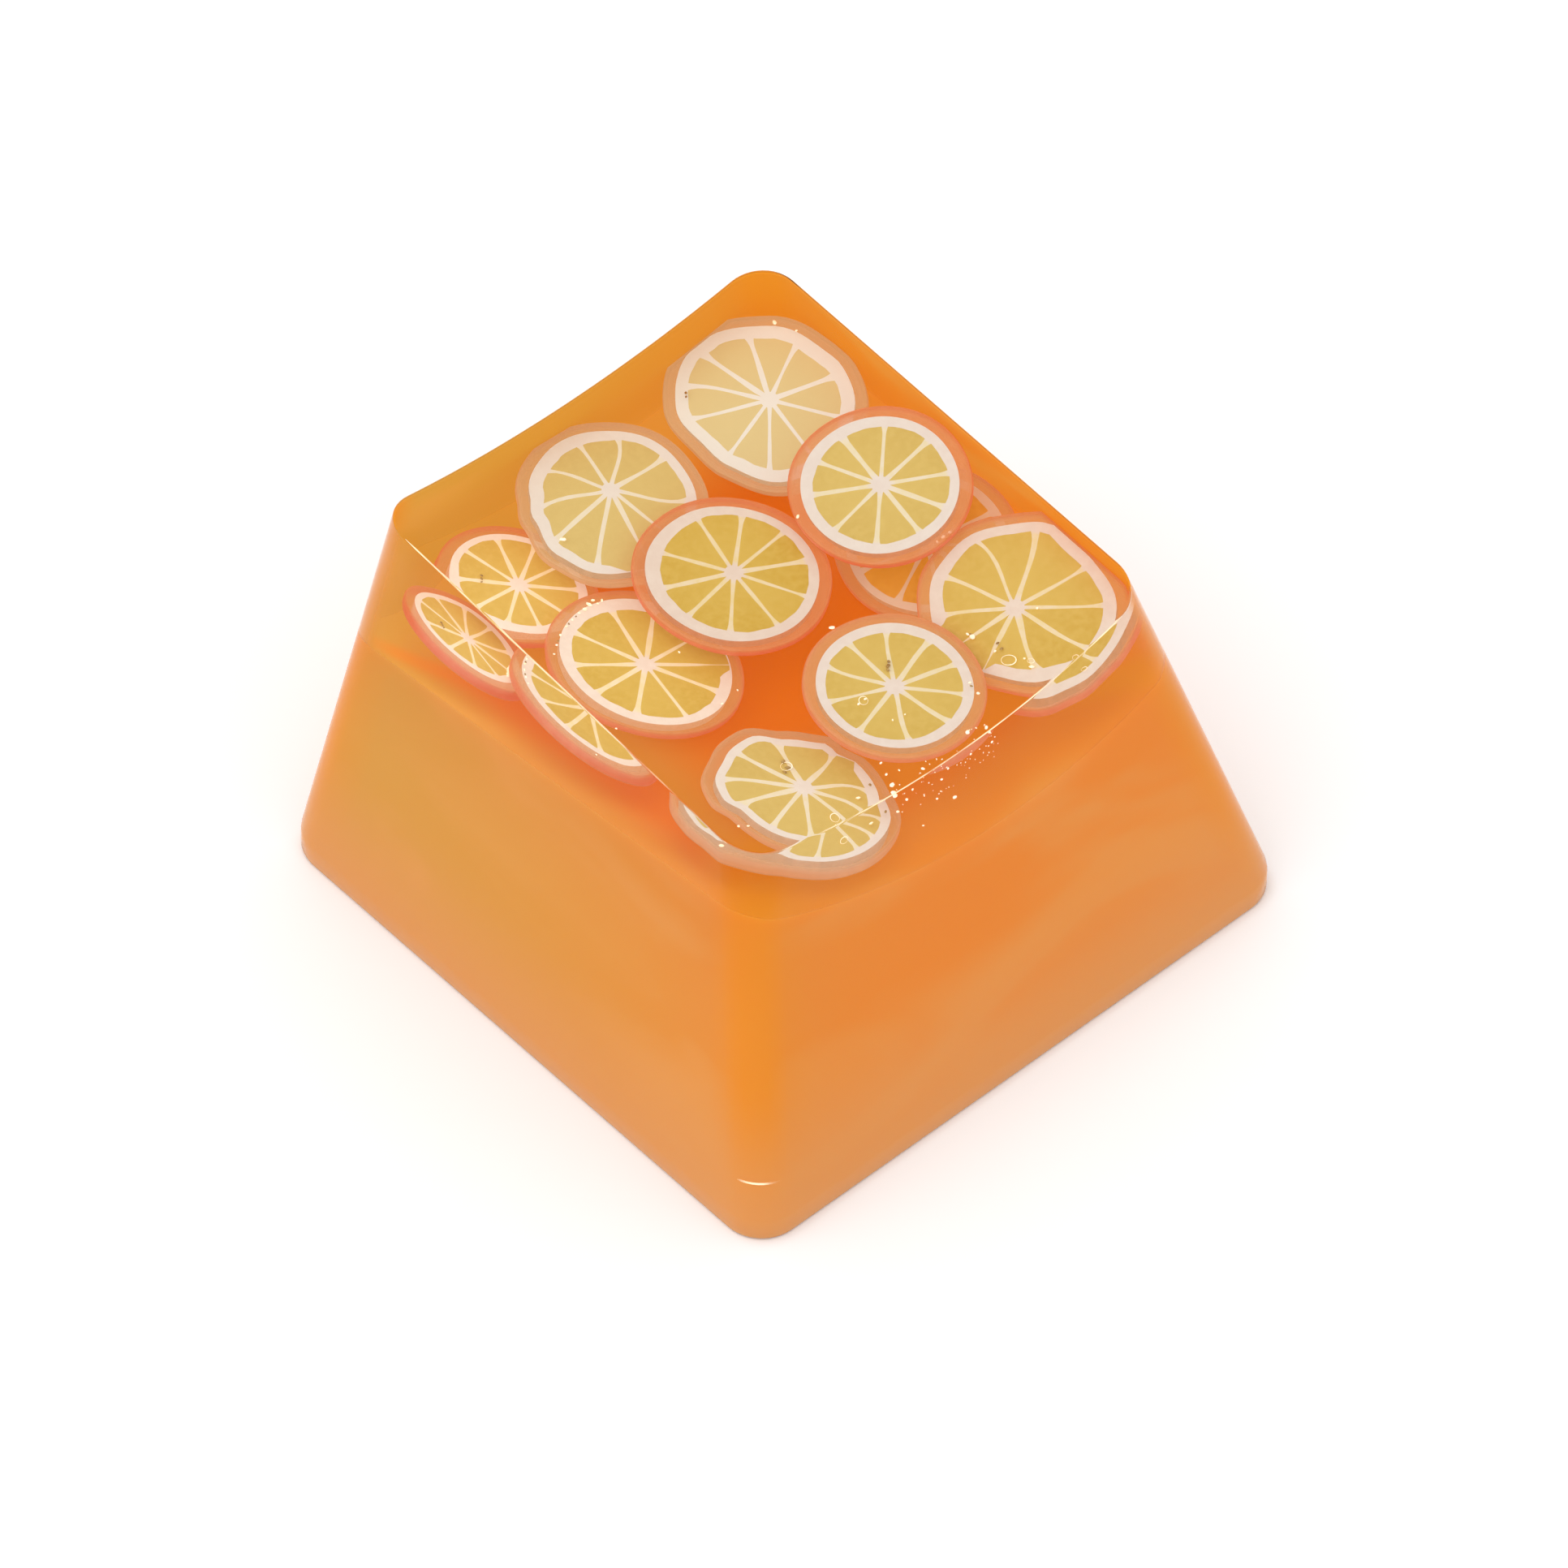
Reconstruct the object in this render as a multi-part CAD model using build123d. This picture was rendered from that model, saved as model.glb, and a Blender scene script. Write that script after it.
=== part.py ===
from build123d import *
import os
from math import asin, atan2, cos, degrees, pi, radians, sin, tan

# An artisan keycap for one key: two pours of resin, with ten slices of clay citrus cane in the clear one.
# Frame: origin at the middle of the rim's underside, +X to the right, +Y to the back, +Z up.
# Lengths are in millimetres and angles in degrees.

# Outer form
rim_width = 18.1
rim_depth = 18.1
lip_height = 0.7
front_height = 10.65
back_height = 11.65
side_draft = 12.95
front_draft = 17.25
back_draft = 4.4
corner_radius = 1.1
dish_depth = 0.85
edge_break = 0.12

# Hollow underside and the post that grips a cross-shaped keyswitch stem
rim_wall = 1.4
roof_wall = 1.3
hollow_depth = 5.0
hollow_corner_radius = 0.8
post_diameter = 5.5
post_recess = 0.4
cross_length = 4.1
cross_wide_slot = 1.35
cross_narrow_slot = 1.2
cross_depth = 3.9

# Bed of slices: each lies on a bowl under the dish, and its level counts slice pitches down from the first
bed_radius = 15.5
bed_shift = 1.0
bed_cover = 0.42
slice_thickness = 0.4
slice_gap = 0.2
slice_cover = 0.1

# Bowl where the clear pour meets the cloudy one: its level, and its lean to the dish, higher at the front
pour_level = 5.5
pour_lean = -10.0

# Coloured clays of a slice
rind_width = 0.35
pith_width = 0.3
membrane_width = 0.13
hub_diameter = 0.56
segment_count = 10

# Each slice: name, wall it is set from (1 right, -1 left, 0 middle) and offset across, edge it is set from
# (1 back, -1 front, 0 middle) and offset along, level, diameter, turn of its segments
slices = [
    ("slice_01", 1, -2.07, 1, -2.63, 3.0, 5.4, 12),
    ("slice_02", 1, -2.40, 0, 0.12, 0.0, 4.75, 7),
    ("slice_03", 0, -0.80, 1, -2.63, 2.0, 5.3, 2),
    ("slice_04", -1, 2.08, 1, -2.93, 4.5, 4.35, 28),
    ("slice_05", 0, -0.20, 0, 0.72, 1.0, 5.15, 4),
    ("slice_06", -1, 2.92, 0, 0.15, 3.2, 5.2, 7),
    ("slice_07", 1, -2.22, -1, 2.33, 1.0, 5.2, 28),
    ("slice_08", 0, 0.40, -1, 2.43, 0.0, 4.7, 18),
    ("slice_09", -1, 3.18, -1, 1.66, 2.2, 4.75, 1),
    ("slice_10", 1, -1.87, 0, -1.29, 3.8, 4.75, 21),
]


# The four outer walls at a height: upright along the lip, drafted above it
def half_width(z):
    return rim_width / 2 - max(z - lip_height, 0) * tan(radians(side_draft))


def front_y(z):
    return -rim_depth / 2 + max(z - lip_height, 0) * tan(radians(front_draft))


def back_y(z):
    return rim_depth / 2 - max(z - lip_height, 0) * tan(radians(back_draft))


def sloped_plane(x, z, angle):
    """Plane through (x, 0, z) that rises to the back by an angle in radians."""
    return Plane(origin=(x, 0, z), x_dir=(1, 0, 0), z_dir=(0, -sin(angle), cos(angle)))


# The dish's lowest line, and the bowls under it
dish_tilt = atan2(back_height - front_height, back_y(back_height) - front_y(front_height))
dish_floor = front_height - dish_depth - front_y(front_height) * tan(dish_tilt)
dish_plane = sloped_plane(0, dish_floor, dish_tilt)
dish_radius = (half_width(front_height) ** 2 + dish_depth ** 2) / (2 * dish_depth)
front_edge = front_y(front_height) / cos(dish_tilt)
back_edge = back_y(back_height) / cos(dish_tilt)
level_pitch = slice_thickness + slice_gap
pour_drop = pour_level * level_pitch
pour_plane = sloped_plane(bed_shift, dish_floor - bed_cover - pour_drop, dish_tilt + radians(pour_lean))
pour_radius = bed_radius + pour_drop


def bar(plane, radius, drop=0):
    """Round bar along a plane's Y axis, its lowest line a drop under the plane."""
    length = 3 * rim_depth
    return plane * Pos(0, 0, radius - drop) * Rot(90, 0, 0) * Cylinder(radius, length)


def taper(low, low_inset, high, high_inset, radius):
    """Block between two heights, set in from the outer walls, with its upright edges rounded."""
    low_half = half_width(low) - low_inset
    high_half = half_width(high) - high_inset
    front_view = Polyline((-low_half, low), (low_half, low), (high_half, high), (-high_half, high), close=True)
    side_view = Polyline(
        (front_y(low) + low_inset, low),
        (back_y(low) - low_inset, low),
        (back_y(high) - high_inset, high),
        (front_y(high) + high_inset, high),
        close=True,
    )
    across = extrude(Plane.YZ * make_face(side_view), rim_width, both=True)
    along = extrude(Plane.XZ * make_face(front_view), rim_depth, both=True)
    drafted = across & along
    return fillet(drafted.edges().filter_by(Plane.XY, reverse=True), radius)


def block(inset):
    """The dished, tapered form of the cap, with every face moved in by the inset."""
    upper = taper(lip_height, inset, back_height + dish_depth, inset, corner_radius)
    lip = extrude(upper.faces().sort_by(Axis.Z)[0], lip_height, dir=(0, 0, -1))
    return upper + lip - bar(dish_plane, dish_radius + inset, inset)


def cap_form():
    """Outer form with its dish edge broken."""
    form = block(0)
    dish_face = form.faces().filter_by(GeomType.CYLINDER).sort_by(SortBy.AREA)[-1]
    return chamfer(dish_face.edges(), edge_break)


def hollow():
    """Space under the cap, drafted with its walls."""
    return taper(0, rim_wall, hollow_depth, roof_wall, hollow_corner_radius)


def stem_post():
    """Post from the hollow's roof, with a cross-shaped socket open at its end."""
    low = (Align.CENTER, Align.CENTER, Align.MIN)
    post = Cylinder(post_diameter / 2, hollow_depth - post_recess, align=low)
    wide = Box(cross_length, cross_wide_slot, cross_depth, align=low)
    narrow = Box(cross_narrow_slot, cross_length, cross_depth, align=low)
    return Pos(0, 0, post_recess) * (post - wide - narrow)


def wedge(flesh_radius):
    """Outline of one flesh segment, between two membranes."""
    pitch = 2 * pi / segment_count
    start = asin(membrane_width / 2 / flesh_radius)
    tip = (hub_diameter / 2 * cos(pitch / 2), hub_diameter / 2 * sin(pitch / 2))
    first = (flesh_radius * cos(start), flesh_radius * sin(start))
    middle = (flesh_radius * cos(pitch / 2), flesh_radius * sin(pitch / 2))
    last = (flesh_radius * cos(pitch - start), flesh_radius * sin(pitch - start))
    return make_face([Line(tip, first), ThreePointArc(first, middle, last), Line(last, tip)])


def slice_middle(side, across, end, along):
    """Middle of a slice in the dish plane, set from the walls that it lies by."""
    y = (front_edge + back_edge + end * (back_edge - front_edge)) / 2 + along
    edge_height = dish_floor + dish_depth + y * sin(dish_tilt)
    return side * half_width(edge_height) + across, y


def slice_place(x, y, level, turn):
    """Where a slice's upper face lies: flat on the bowl of its level."""
    radius = bed_radius + level * level_pitch
    lean = asin((x - bed_shift) / radius)
    height = bed_radius - bed_cover - radius * cos(lean)
    return dish_plane * Pos(x, y, height) * Rot(0, -degrees(lean), 0) * Rot(0, 0, turn)


def clay_slice(place, diameter, room):
    """One slice as its whole disc, rind, pith wheel and flesh segments, trimmed to the room for it."""
    pith_radius = diameter / 2 - rind_width
    disc = Circle(diameter / 2)
    core = Circle(pith_radius)
    flesh = PolarLocations(0, segment_count) * wedge(pith_radius - pith_width)

    def cut(outline):
        return room & (place * extrude(outline, -slice_thickness))

    return cut(disc), cut(disc - core), cut(core - flesh), [cut(segment) for segment in flesh]


def build():
    """All pieces by node name."""
    form = cap_form()
    pour = bar(pour_plane, pour_radius)
    clear_top = form & pour
    room = block(slice_cover) & bar(pour_plane, pour_radius - slice_cover, -slice_cover)
    pieces = {"cloudy_body": form - pour - hollow() + stem_post()}
    for name, side, across, end, along, level, diameter, turn in slices:
        x, y = slice_middle(side, across, end, along)
        disc, rind, pith, flesh = clay_slice(slice_place(x, y, level, turn), diameter, room)
        clear_top -= disc
        pieces[name + "_rind"] = rind
        pieces[name + "_pith"] = pith
        pieces[name + "_flesh"] = Compound(children=flesh)
    pieces["clear_top"] = clear_top
    return pieces


os.makedirs("parts", exist_ok=True)
for node, piece in build().items():
    export_step(piece, os.path.join("parts", node + ".step"))
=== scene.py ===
"""A cast resin keycap with slices of clay citrus cane in its clear top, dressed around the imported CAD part."""

import math
import random

import bpy
from mathutils import Matrix, Vector


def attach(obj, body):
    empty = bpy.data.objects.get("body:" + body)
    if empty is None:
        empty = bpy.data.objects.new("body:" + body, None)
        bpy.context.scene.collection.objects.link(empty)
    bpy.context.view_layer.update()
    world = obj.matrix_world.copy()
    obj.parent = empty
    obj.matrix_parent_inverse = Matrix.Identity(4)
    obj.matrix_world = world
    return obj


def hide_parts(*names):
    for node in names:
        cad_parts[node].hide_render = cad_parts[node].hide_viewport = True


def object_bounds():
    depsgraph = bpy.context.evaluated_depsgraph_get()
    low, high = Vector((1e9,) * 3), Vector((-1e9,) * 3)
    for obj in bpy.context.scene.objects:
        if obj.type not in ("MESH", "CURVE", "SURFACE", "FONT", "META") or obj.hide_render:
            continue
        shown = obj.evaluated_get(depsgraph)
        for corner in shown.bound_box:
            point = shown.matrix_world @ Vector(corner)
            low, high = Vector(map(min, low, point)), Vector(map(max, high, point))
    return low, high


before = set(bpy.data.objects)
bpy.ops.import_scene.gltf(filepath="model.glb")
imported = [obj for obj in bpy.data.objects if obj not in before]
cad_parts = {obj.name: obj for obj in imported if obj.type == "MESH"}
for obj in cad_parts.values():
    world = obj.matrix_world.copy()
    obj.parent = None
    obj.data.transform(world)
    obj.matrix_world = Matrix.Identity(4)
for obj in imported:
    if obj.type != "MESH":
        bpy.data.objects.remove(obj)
CAD_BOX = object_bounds()

bl_info = {
    "name": "Citrus Slice Keycap",
    "version": (1, 0, 0),
    "blender": (4, 5, 0),
    "location": "View3D > Sidebar > Keycap",
    "description": "Builds a cast resin keycap with slices of clay citrus cane in its clear top",
    "category": "Object",
}

MM = 0.001
LAP = 2 * math.pi
WHITE = (1.0, 1.0, 1.0, 1.0)
BLACK = (0.0, 0.0, 0.0)

# Steps along an outline: each wall has its rounded corner, then its flat
CORNER_STEPS = 12
SIDE_STEPS = 28
WALL_STEPS = CORNER_STEPS + SIDE_STEPS

# Columns round a slice: each segment has one along its spoke, then those across its flesh
SEGMENTS = 10
WEDGE_LINES = 7
SEGMENT_COLUMNS = WEDGE_LINES + 1

# Angles that the start of a random wave is drawn from
STARTS = (0, 6.28)

# Each slice: number, wall it is set from (1 right, -1 left, 0 middle) and offset across, edge it is set from
# (1 back, -1 front, 0 middle) and offset along, level, radius and width of its pale ring, hub's offset across
# and along, all in millimetres
SLICES = (
    (1, 1, -2.07, 1, -2.63, 3.0, 2.36, 0.36, 0.14, 0.04),
    (2, 1, -2.40, 0, 0.12, 0.0, 2.02, 0.29, 0.03, 0.0),
    (3, 0, -0.80, 1, -2.63, 2.0, 2.30, 0.31, 0.18, 0.37),
    (4, -1, 2.08, 1, -2.93, 4.5, 1.83, 0.24, -0.03, -0.03),
    (5, 0, -0.20, 0, 0.72, 1.0, 2.22, 0.31, 0.06, 0.01),
    (6, -1, 2.92, 0, 0.15, 3.2, 2.26, 0.33, -0.07, -0.06),
    (7, 1, -2.22, -1, 2.33, 1.0, 2.42, 0.33, -0.03, 0.01),
    (8, 0, 0.40, -1, 2.43, 0.0, 1.99, 0.27, -0.03, -0.02),
    (9, -1, 3.18, -1, 1.66, 2.2, 2.03, 0.24, 0.15, 0.01),
    (10, 1, -1.87, 0, -1.29, 3.8, 2.10, 0.24, 0.04, 0.0),
)

# Directions of each slice's spokes, in degrees round its hub
SPOKES = {
    1: (24, 63, 98, 126, 153, 195, 227, 260, 300, 339),
    2: (3, 44, 82, 113, 146, 186, 224, 262, 293, 326),
    3: (0, 41, 77, 122, 162, 191, 220, 251, 278, 314),
    4: (0, 31, 66, 104, 145, 183, 215, 247, 285, 326),
    5: (6, 41, 76, 123, 159, 191, 225, 262, 299, 334),
    6: (2, 40, 73, 116, 152, 184, 219, 259, 301, 330),
    7: (34, 73, 109, 143, 174, 203, 244, 283, 317, 349),
    8: (17, 54, 89, 120, 158, 197, 240, 281, 313, 345),
    9: (17, 72, 111, 143, 169, 200, 232, 274, 297, 325),
    10: (21, 58, 92, 130, 164, 203, 236, 275, 309, 344),
}

# How far the spokes of some slices bow between hub and ring, in degrees
BOWS = {
    1: (1, -1, 0, -4, 1, 0, 0, 0, 0, 0),
    3: (-2, -5, -1, -5, -5, -1, -1, -1, -3, -6),
    7: (-3, -6, -2, -2, 0, 0, -4, -3, -1, -1),
    8: (2, 2, 0, 4, 0, 0, -3, -2, 1, 1),
    9: (-3, 1, 1, -3, -2, -1, 0, 2, 7, 9),
}

# Pale rings pressed out of round: directions round the hub in degrees, and distances from it in millimetres
RINGS = {
    1: ((5, 2.04), (47, 2.24), (99, 2.56), (143, 2.44), (176, 2.19), (199, 2.27), (236, 2.53), (275, 2.38),
        (309, 2.22), (344, 2.12)),
    3: ((14, 2.12), (59, 1.99), (108, 1.98), (150, 2.13), (171, 2.35), (199, 2.78), (218, 2.92), (245, 2.75),
        (280, 2.42), (310, 2.22), (349, 2.10)),
    7: ((9, 2.47), (24, 2.59), (55, 2.43), (70, 2.45), (105, 2.32), (143, 2.15), (180, 2.06), (210, 2.06),
        (248, 2.28), (277, 2.50), (316, 2.56), (351, 2.36)),
    9: ((14, 1.66), (26, 1.80), (41, 1.68), (63, 1.68), (91, 2.03), (122, 2.11), (148, 2.32), (160, 2.30),
        (176, 2.02), (201, 2.02), (230, 1.92), (275, 1.95), (320, 1.93), (355, 1.84)),
}

# Where a pale ring has worn away: direction of the middle of the gap and half its width, in degrees
WORN = {3: (262, 30), 6: (358, 36), 7: (179, 27), 9: (5, 11)}

# How each slice looks through the resin: how much of its colour it takes, how pale it looks, how much painted glow
# brightens it out of its shade, how much its skin covers, and how pale that is, or how coral where the number is
# negative
TONES = {
    1: (0.0, 0.90, 0.14, 0.48, 1.00),
    2: (0.0, 0.18, 0.03, 0.50, -0.35),
    3: (0.0, 0.42, 0.12, 0.45, 0.79),
    4: (0.0, 0.14, 0.72, 0.55, -0.15),
    5: (0.0, 0.00, 0.07, 0.50, -0.40),
    6: (0.0, 0.07, 0.44, 0.48, 0.10),
    7: (0.0, 0.03, 0.08, 0.42, 0.15),
    8: (0.0, 0.12, 0.08, 0.50, 0.20),
    9: (0.0, 0.26, 0.20, 0.32, 0.62),
    10: (1.0, 0.00, 1.00, 0.45, 0.40),
}

# Grains with painted glints, flecks and bubbles caught in the clear pour: place and radius, in millimetres
GRAINS_AND_GLINTS = (
    (3.1, -3.47, 9.15, 0.082), (3.06, -3.33, 9.15, 0.045), (4.83, -4.01, 9.44, 0.041),
    (3.58, -5.15, 9.1, 0.066), (3.22, -4.18, 9.12, 0.045), (3.61, -4.85, 9.13, 0.041),
    (4.27, -0.89, 9.77, 0.051), (4.47, -0.89, 9.82, 0.062), (4.68, -0.91, 9.86, 0.051),
    (2.14, 2.01, 9.92, 0.053), (0.42, -1.15, 9.72, 0.074), (1.89, -4.67, 9.55, 0.045),
    (1.87, -5, 9.41, 0.045), (-0.74, -3.42, 9.71, 0.045), (-0.5, -3.4, 9.69, 0.033),
    (-0.04, -4.37, 9.58, 0.033), (-0.41, -4.32, 9.62, 0.033), (-2.49, -5.23, 8.54, 0.053),
    (-4.88, 3.73, 8.52, 0.053), (-4.74, 3.79, 8.47, 0.062), (-4.56, 3.87, 8.42, 0.066),
    (-4.4, 3.95, 8.37, 0.062), (-4.24, 4, 8.33, 0.053), (-3.84, 3.55, 8.93, 0.066),
    (-3.63, 3.63, 8.88, 0.074), (-3.44, 3.69, 8.83, 0.053), (-3.41, 3.54, 8.81, 0.045),
    (-3.24, 3.57, 8.77, 0.045), (-4.07, 3.51, 9, 0.041), (-4.39, 3.41, 9.09, 0.041), (-4.7, 3.3, 9.19, 0.037),
    (-5.06, 3.12, 9.31, 0.037), (-5.4, 2.88, 9.42, 0.037), (-5.69, 2.65, 9.52, 0.033),
    (-2.82, 5.44, 9.48, 0.078), (6.19, 7.25, 9.48, 0.066), (6.41, 6.66, 9.52, 0.037),
    (-2.86, 1.05, 8.81, 0.037), (-6.1, -0.15, 9.44, 0.033), (-3.05, -0.73, 8.36, 0.037),
    (-2.38, -0.58, 8.22, 0.033), (-5.88, -4.53, 9.69, 0.045), (-5.65, -4.63, 9.59, 0.037),
    (-1.85, -5.87, 9.64, 0.074), (-1.67, -5.45, 9.43, 0.037), (-1.5, -5.06, 9.36, 0.037),
    (0.77, -5.8, 9.55, 0.062), (1.23, -5.99, 9.55, 0.053), (-0.9, -5.97, 9.63, 0.045),
    (-1.35, -5.58, 9.5, 0.033), (-1.99, -6.07, 9.64, 0.062), (-0.23, -6.32, 8.47, 0.062),
    (-1.65, -6.09, 9.28, 0.053), (-1.99, -6.13, 9.12, 0.049), (-0.5, -6.12, 9.18, 0.037),
    (-1.43, -6.08, 9.47, 0.037), (-0.73, -6.17, 8.69, 0.037), (-1.31, -6.3, 8.23, 0.033),
    (-0.24, -6.07, 9.35, 0.037), (0.52, -6.08, 9.32, 0.037), (1.22, -6.1, 9.26, 0.037),
)
FLECKS = (
    (-5.18, 6.1, 8.66, 0.039), (-5.27, 6, 8.69, 0.043), (-5.35, 5.91, 8.71, 0.033),
    (0.78, -2.87, 9.66, 0.053), (0.68, -2.96, 9.65, 0.062), (0.59, -3.05, 9.65, 0.045),
    (-3.26, -3.29, 8.85, 0.062), (-3.31, -3.52, 8.85, 0.066), (-3.48, -3.59, 8.89, 0.049),
    (-1.93, -5.07, 8.44, 0.049), (3.43, -4.05, 9.16, 0.053), (3.39, -4.24, 9.14, 0.045),
    (3.12, -3.39, 9.16, 0.037), (-5.26, 2.98, 9.37, 0.035), (-4.58, 3.34, 9.15, 0.035),
    (-4.23, 3.46, 9.04, 0.033), (1.85, -4.77, 9.54, 0.037), (3.18, 7.35, 8.76, 0.049),
    (3.1, 7.26, 8.75, 0.041),
)
BUBBLES = (
    (3.29, -4.61, 9.1, 0.174), (-3.47, -5.42, 8.76, 0.123), (4.55, -5.72, 9.25, 0.082),
    (-3.31, -3.46, 8.85, 0.144), (3.68, -5.01, 9.13, 0.082), (-0.57, -3.41, 9.7, 0.123),
)

# Cloud of the finest grains, with painted glints, by the front edge: count, two corners of its room and least
# and greatest radius, in millimetres
DUST_AND_GLINTS = (60, (-1.9, -6.15, 8.55), (1.5, -5.75, 9.55), (0.009, 0.022))


def length(label, description, millimetres):
    """A length that a user may change."""
    return bpy.props.FloatProperty(
        name=label, description=description, default=millimetres * MM, unit="LENGTH", precision=5
    )


def angle(label, description, degrees):
    """An angle that a user may change."""
    return bpy.props.FloatProperty(
        name=label, description=description, default=math.radians(degrees), subtype="ANGLE", unit="ROTATION"
    )


def colour(label, description, rgb):
    """A linear colour that a user may change."""
    return bpy.props.FloatVectorProperty(
        name=label, description=description, default=rgb, size=3, min=0.0, max=1.0, subtype="COLOR"
    )


def factor(label, description, value, highest=1.0):
    """A plain number that a user may change."""
    return bpy.props.FloatProperty(name=label, description=description, default=value, min=0.0, max=highest)


class KeycapForm(bpy.types.PropertyGroup):
    """Sizes of the cap, as its CAD part has them."""

    rim_width: length("Rim width", "Width over the rim", (CAD_BOX[1].x - CAD_BOX[0].x) / MM)
    rim_depth: length("Rim depth", "Depth over the rim, front to back", (CAD_BOX[1].y - CAD_BOX[0].y) / MM)
    lip_height: length("Lip height", "Height of the upright lip round the rim", 0.7)
    front_height: length("Front height", "Height of the front corners of the dish", 10.65)
    back_height: length("Back height", "Height of the back corners of the dish", 11.65)
    side_draft: angle("Side draft", "Slope of the two side walls", 12.95)
    front_draft: angle("Front draft", "Slope of the front wall", 17.25)
    back_draft: angle("Back draft", "Slope of the back wall", 4.4)
    corner_radius: length("Corner radius", "Rounding of the four upright corners", 1.12)
    dish_depth: length("Dish depth", "Depth of the dish across the top", 0.85)
    edge_radius: length("Edge rounding", "Rounding of the rim and of the edges below", 0.12)
    dish_edge: length("Dish edge", "Width of the eased edge round the dish", 0.05)
    rim_wall: length("Rim wall", "Wall at the hollow's mouth", 1.4)
    roof_wall: length("Roof wall", "Wall beside the hollow's roof", 1.3)
    hollow_depth: length("Hollow depth", "Depth of the hollow underside", 5.0)
    hollow_corner: length("Hollow corner", "Rounding of the hollow's corners", 0.8)
    post_diameter: length("Post diameter", "Width of the post that grips a keyswitch stem", 5.5)
    post_recess: length("Post recess", "How far the post's end stands above the rim", 0.4)
    cross_length: length("Cross length", "Length of both slots of the cross-shaped socket", 4.1)
    cross_wide: length("Wide slot", "Width of the slot that runs across", 1.35)
    cross_narrow: length("Narrow slot", "Width of the slot that runs front to back", 1.2)
    cross_depth: length("Cross depth", "Depth of the cross-shaped socket", 3.9)


class SliceBed(bpy.types.PropertyGroup):
    """Sizes of the bed of slices and of the pour under it."""

    bed_radius: length("Bed radius", "Radius of the bowl that the first slices lie on", 15.5)
    bed_shift: length("Bed shift", "How far the bowl's lowest line lies to the right", 1.0)
    bed_cover: length("Bed cover", "Clear resin over the first slices", 0.42)
    pitch: length("Level pitch", "Height from one level of slices to the next", 0.6)
    thickness: length("Slice thickness", "Thickness of a slice", 0.4)
    wall_cover: length("Wall cover", "Clear resin between a slice and a wall", 0.1)
    pour_level: factor("Pour level", "Level at which the clear pour meets the milky one", 5.5, 10.0)
    pour_lean: angle("Pour lean", "Lean of that meeting to the dish, higher at the front", -10.0)
    rind_width: length("Rind width", "Width of the orange skin", 0.34)
    membrane_width: length("Membrane width", "Width of the pale line between two segments", 0.105)
    hub_radius: length("Hub radius", "Radius of the pale hub", 0.24)
    rind_rounding: length("Rind rounding", "Rounding of a slice's outer edge", 0.1)


class ResinLook(bpy.types.PropertyGroup):
    """Colours of the two resins."""

    left_wall: colour("Left wall", "Milky resin on the left side", (0.640, 0.290, 0.045))
    right_wall: colour("Right wall", "Milky resin on the front and right", (0.77, 0.225, 0.024))
    pale_swirl: colour("Pale swirl", "Paler streaks in the milky resin", (0.74, 0.31, 0.075))
    pale_foot: colour("Pale foot", "Milky resin above the rim", (0.70, 0.29, 0.085))
    # Corner is painted shading: the deeper colour that the rounded corners show as light falls on them
    corner: colour("Corner", "Milky resin along the rounded corners", (0.76, 0.25, 0.018))
    # Pour middle is partly the resin's own orange and partly painted shade: deeper and redder under the slices that
    # shade it
    pour_middle: colour("Pour middle", "Milky resin under the middle of the slices", (0.44, 0.11, 0.002))
    # Pour margin dims the bowl's own colour where painted glow takes over
    pour_margin: colour("Pour margin", "Share of its colour that resin under the margin shows", (0.40, 0.40, 0.34))
    # The glows are painted glow: emission standing in for light scattered in the milky resin, brightening the slices'
    # shade
    middle_glow: colour("Middle glow", "Light passed on by the resin under the slices", (0.48, 0.098, 0.001))
    margin_glow: colour("Margin glow", "Share of its colour that resin under the margin passes on", (0.88, 0.94, 0.57))
    near_glow: colour("Near margin glow", "The same share along the left and front walls", (0.68, 0.66, 0.47))
    veil_glow: colour("Veil glow", "Share of its colour that the haze in the walls passes on", (0.73, 0.74, 0.62))
    # Seam is painted shade: the milky wall darkens under the pours' meeting like the shaded bowl above it
    seam: colour("Seam", "Share of its colour that milky resin keeps where the pours meet", (0.96, 0.88, 0.81))
    # Glint is the colour of the painted highlights along the dish's edge and on its corner
    glint: colour("Glint", "Light caught by the dish's edge and by bubbles", (0.98, 0.80, 0.52))
    clear_tint: colour("Clear tint", "Colour that the clear resin keeps of the light", (1.0, 0.84, 0.5))
    clear_density: factor("Clear density", "How fast the clear resin takes its tint, per metre", 55.0, 1000.0)


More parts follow.
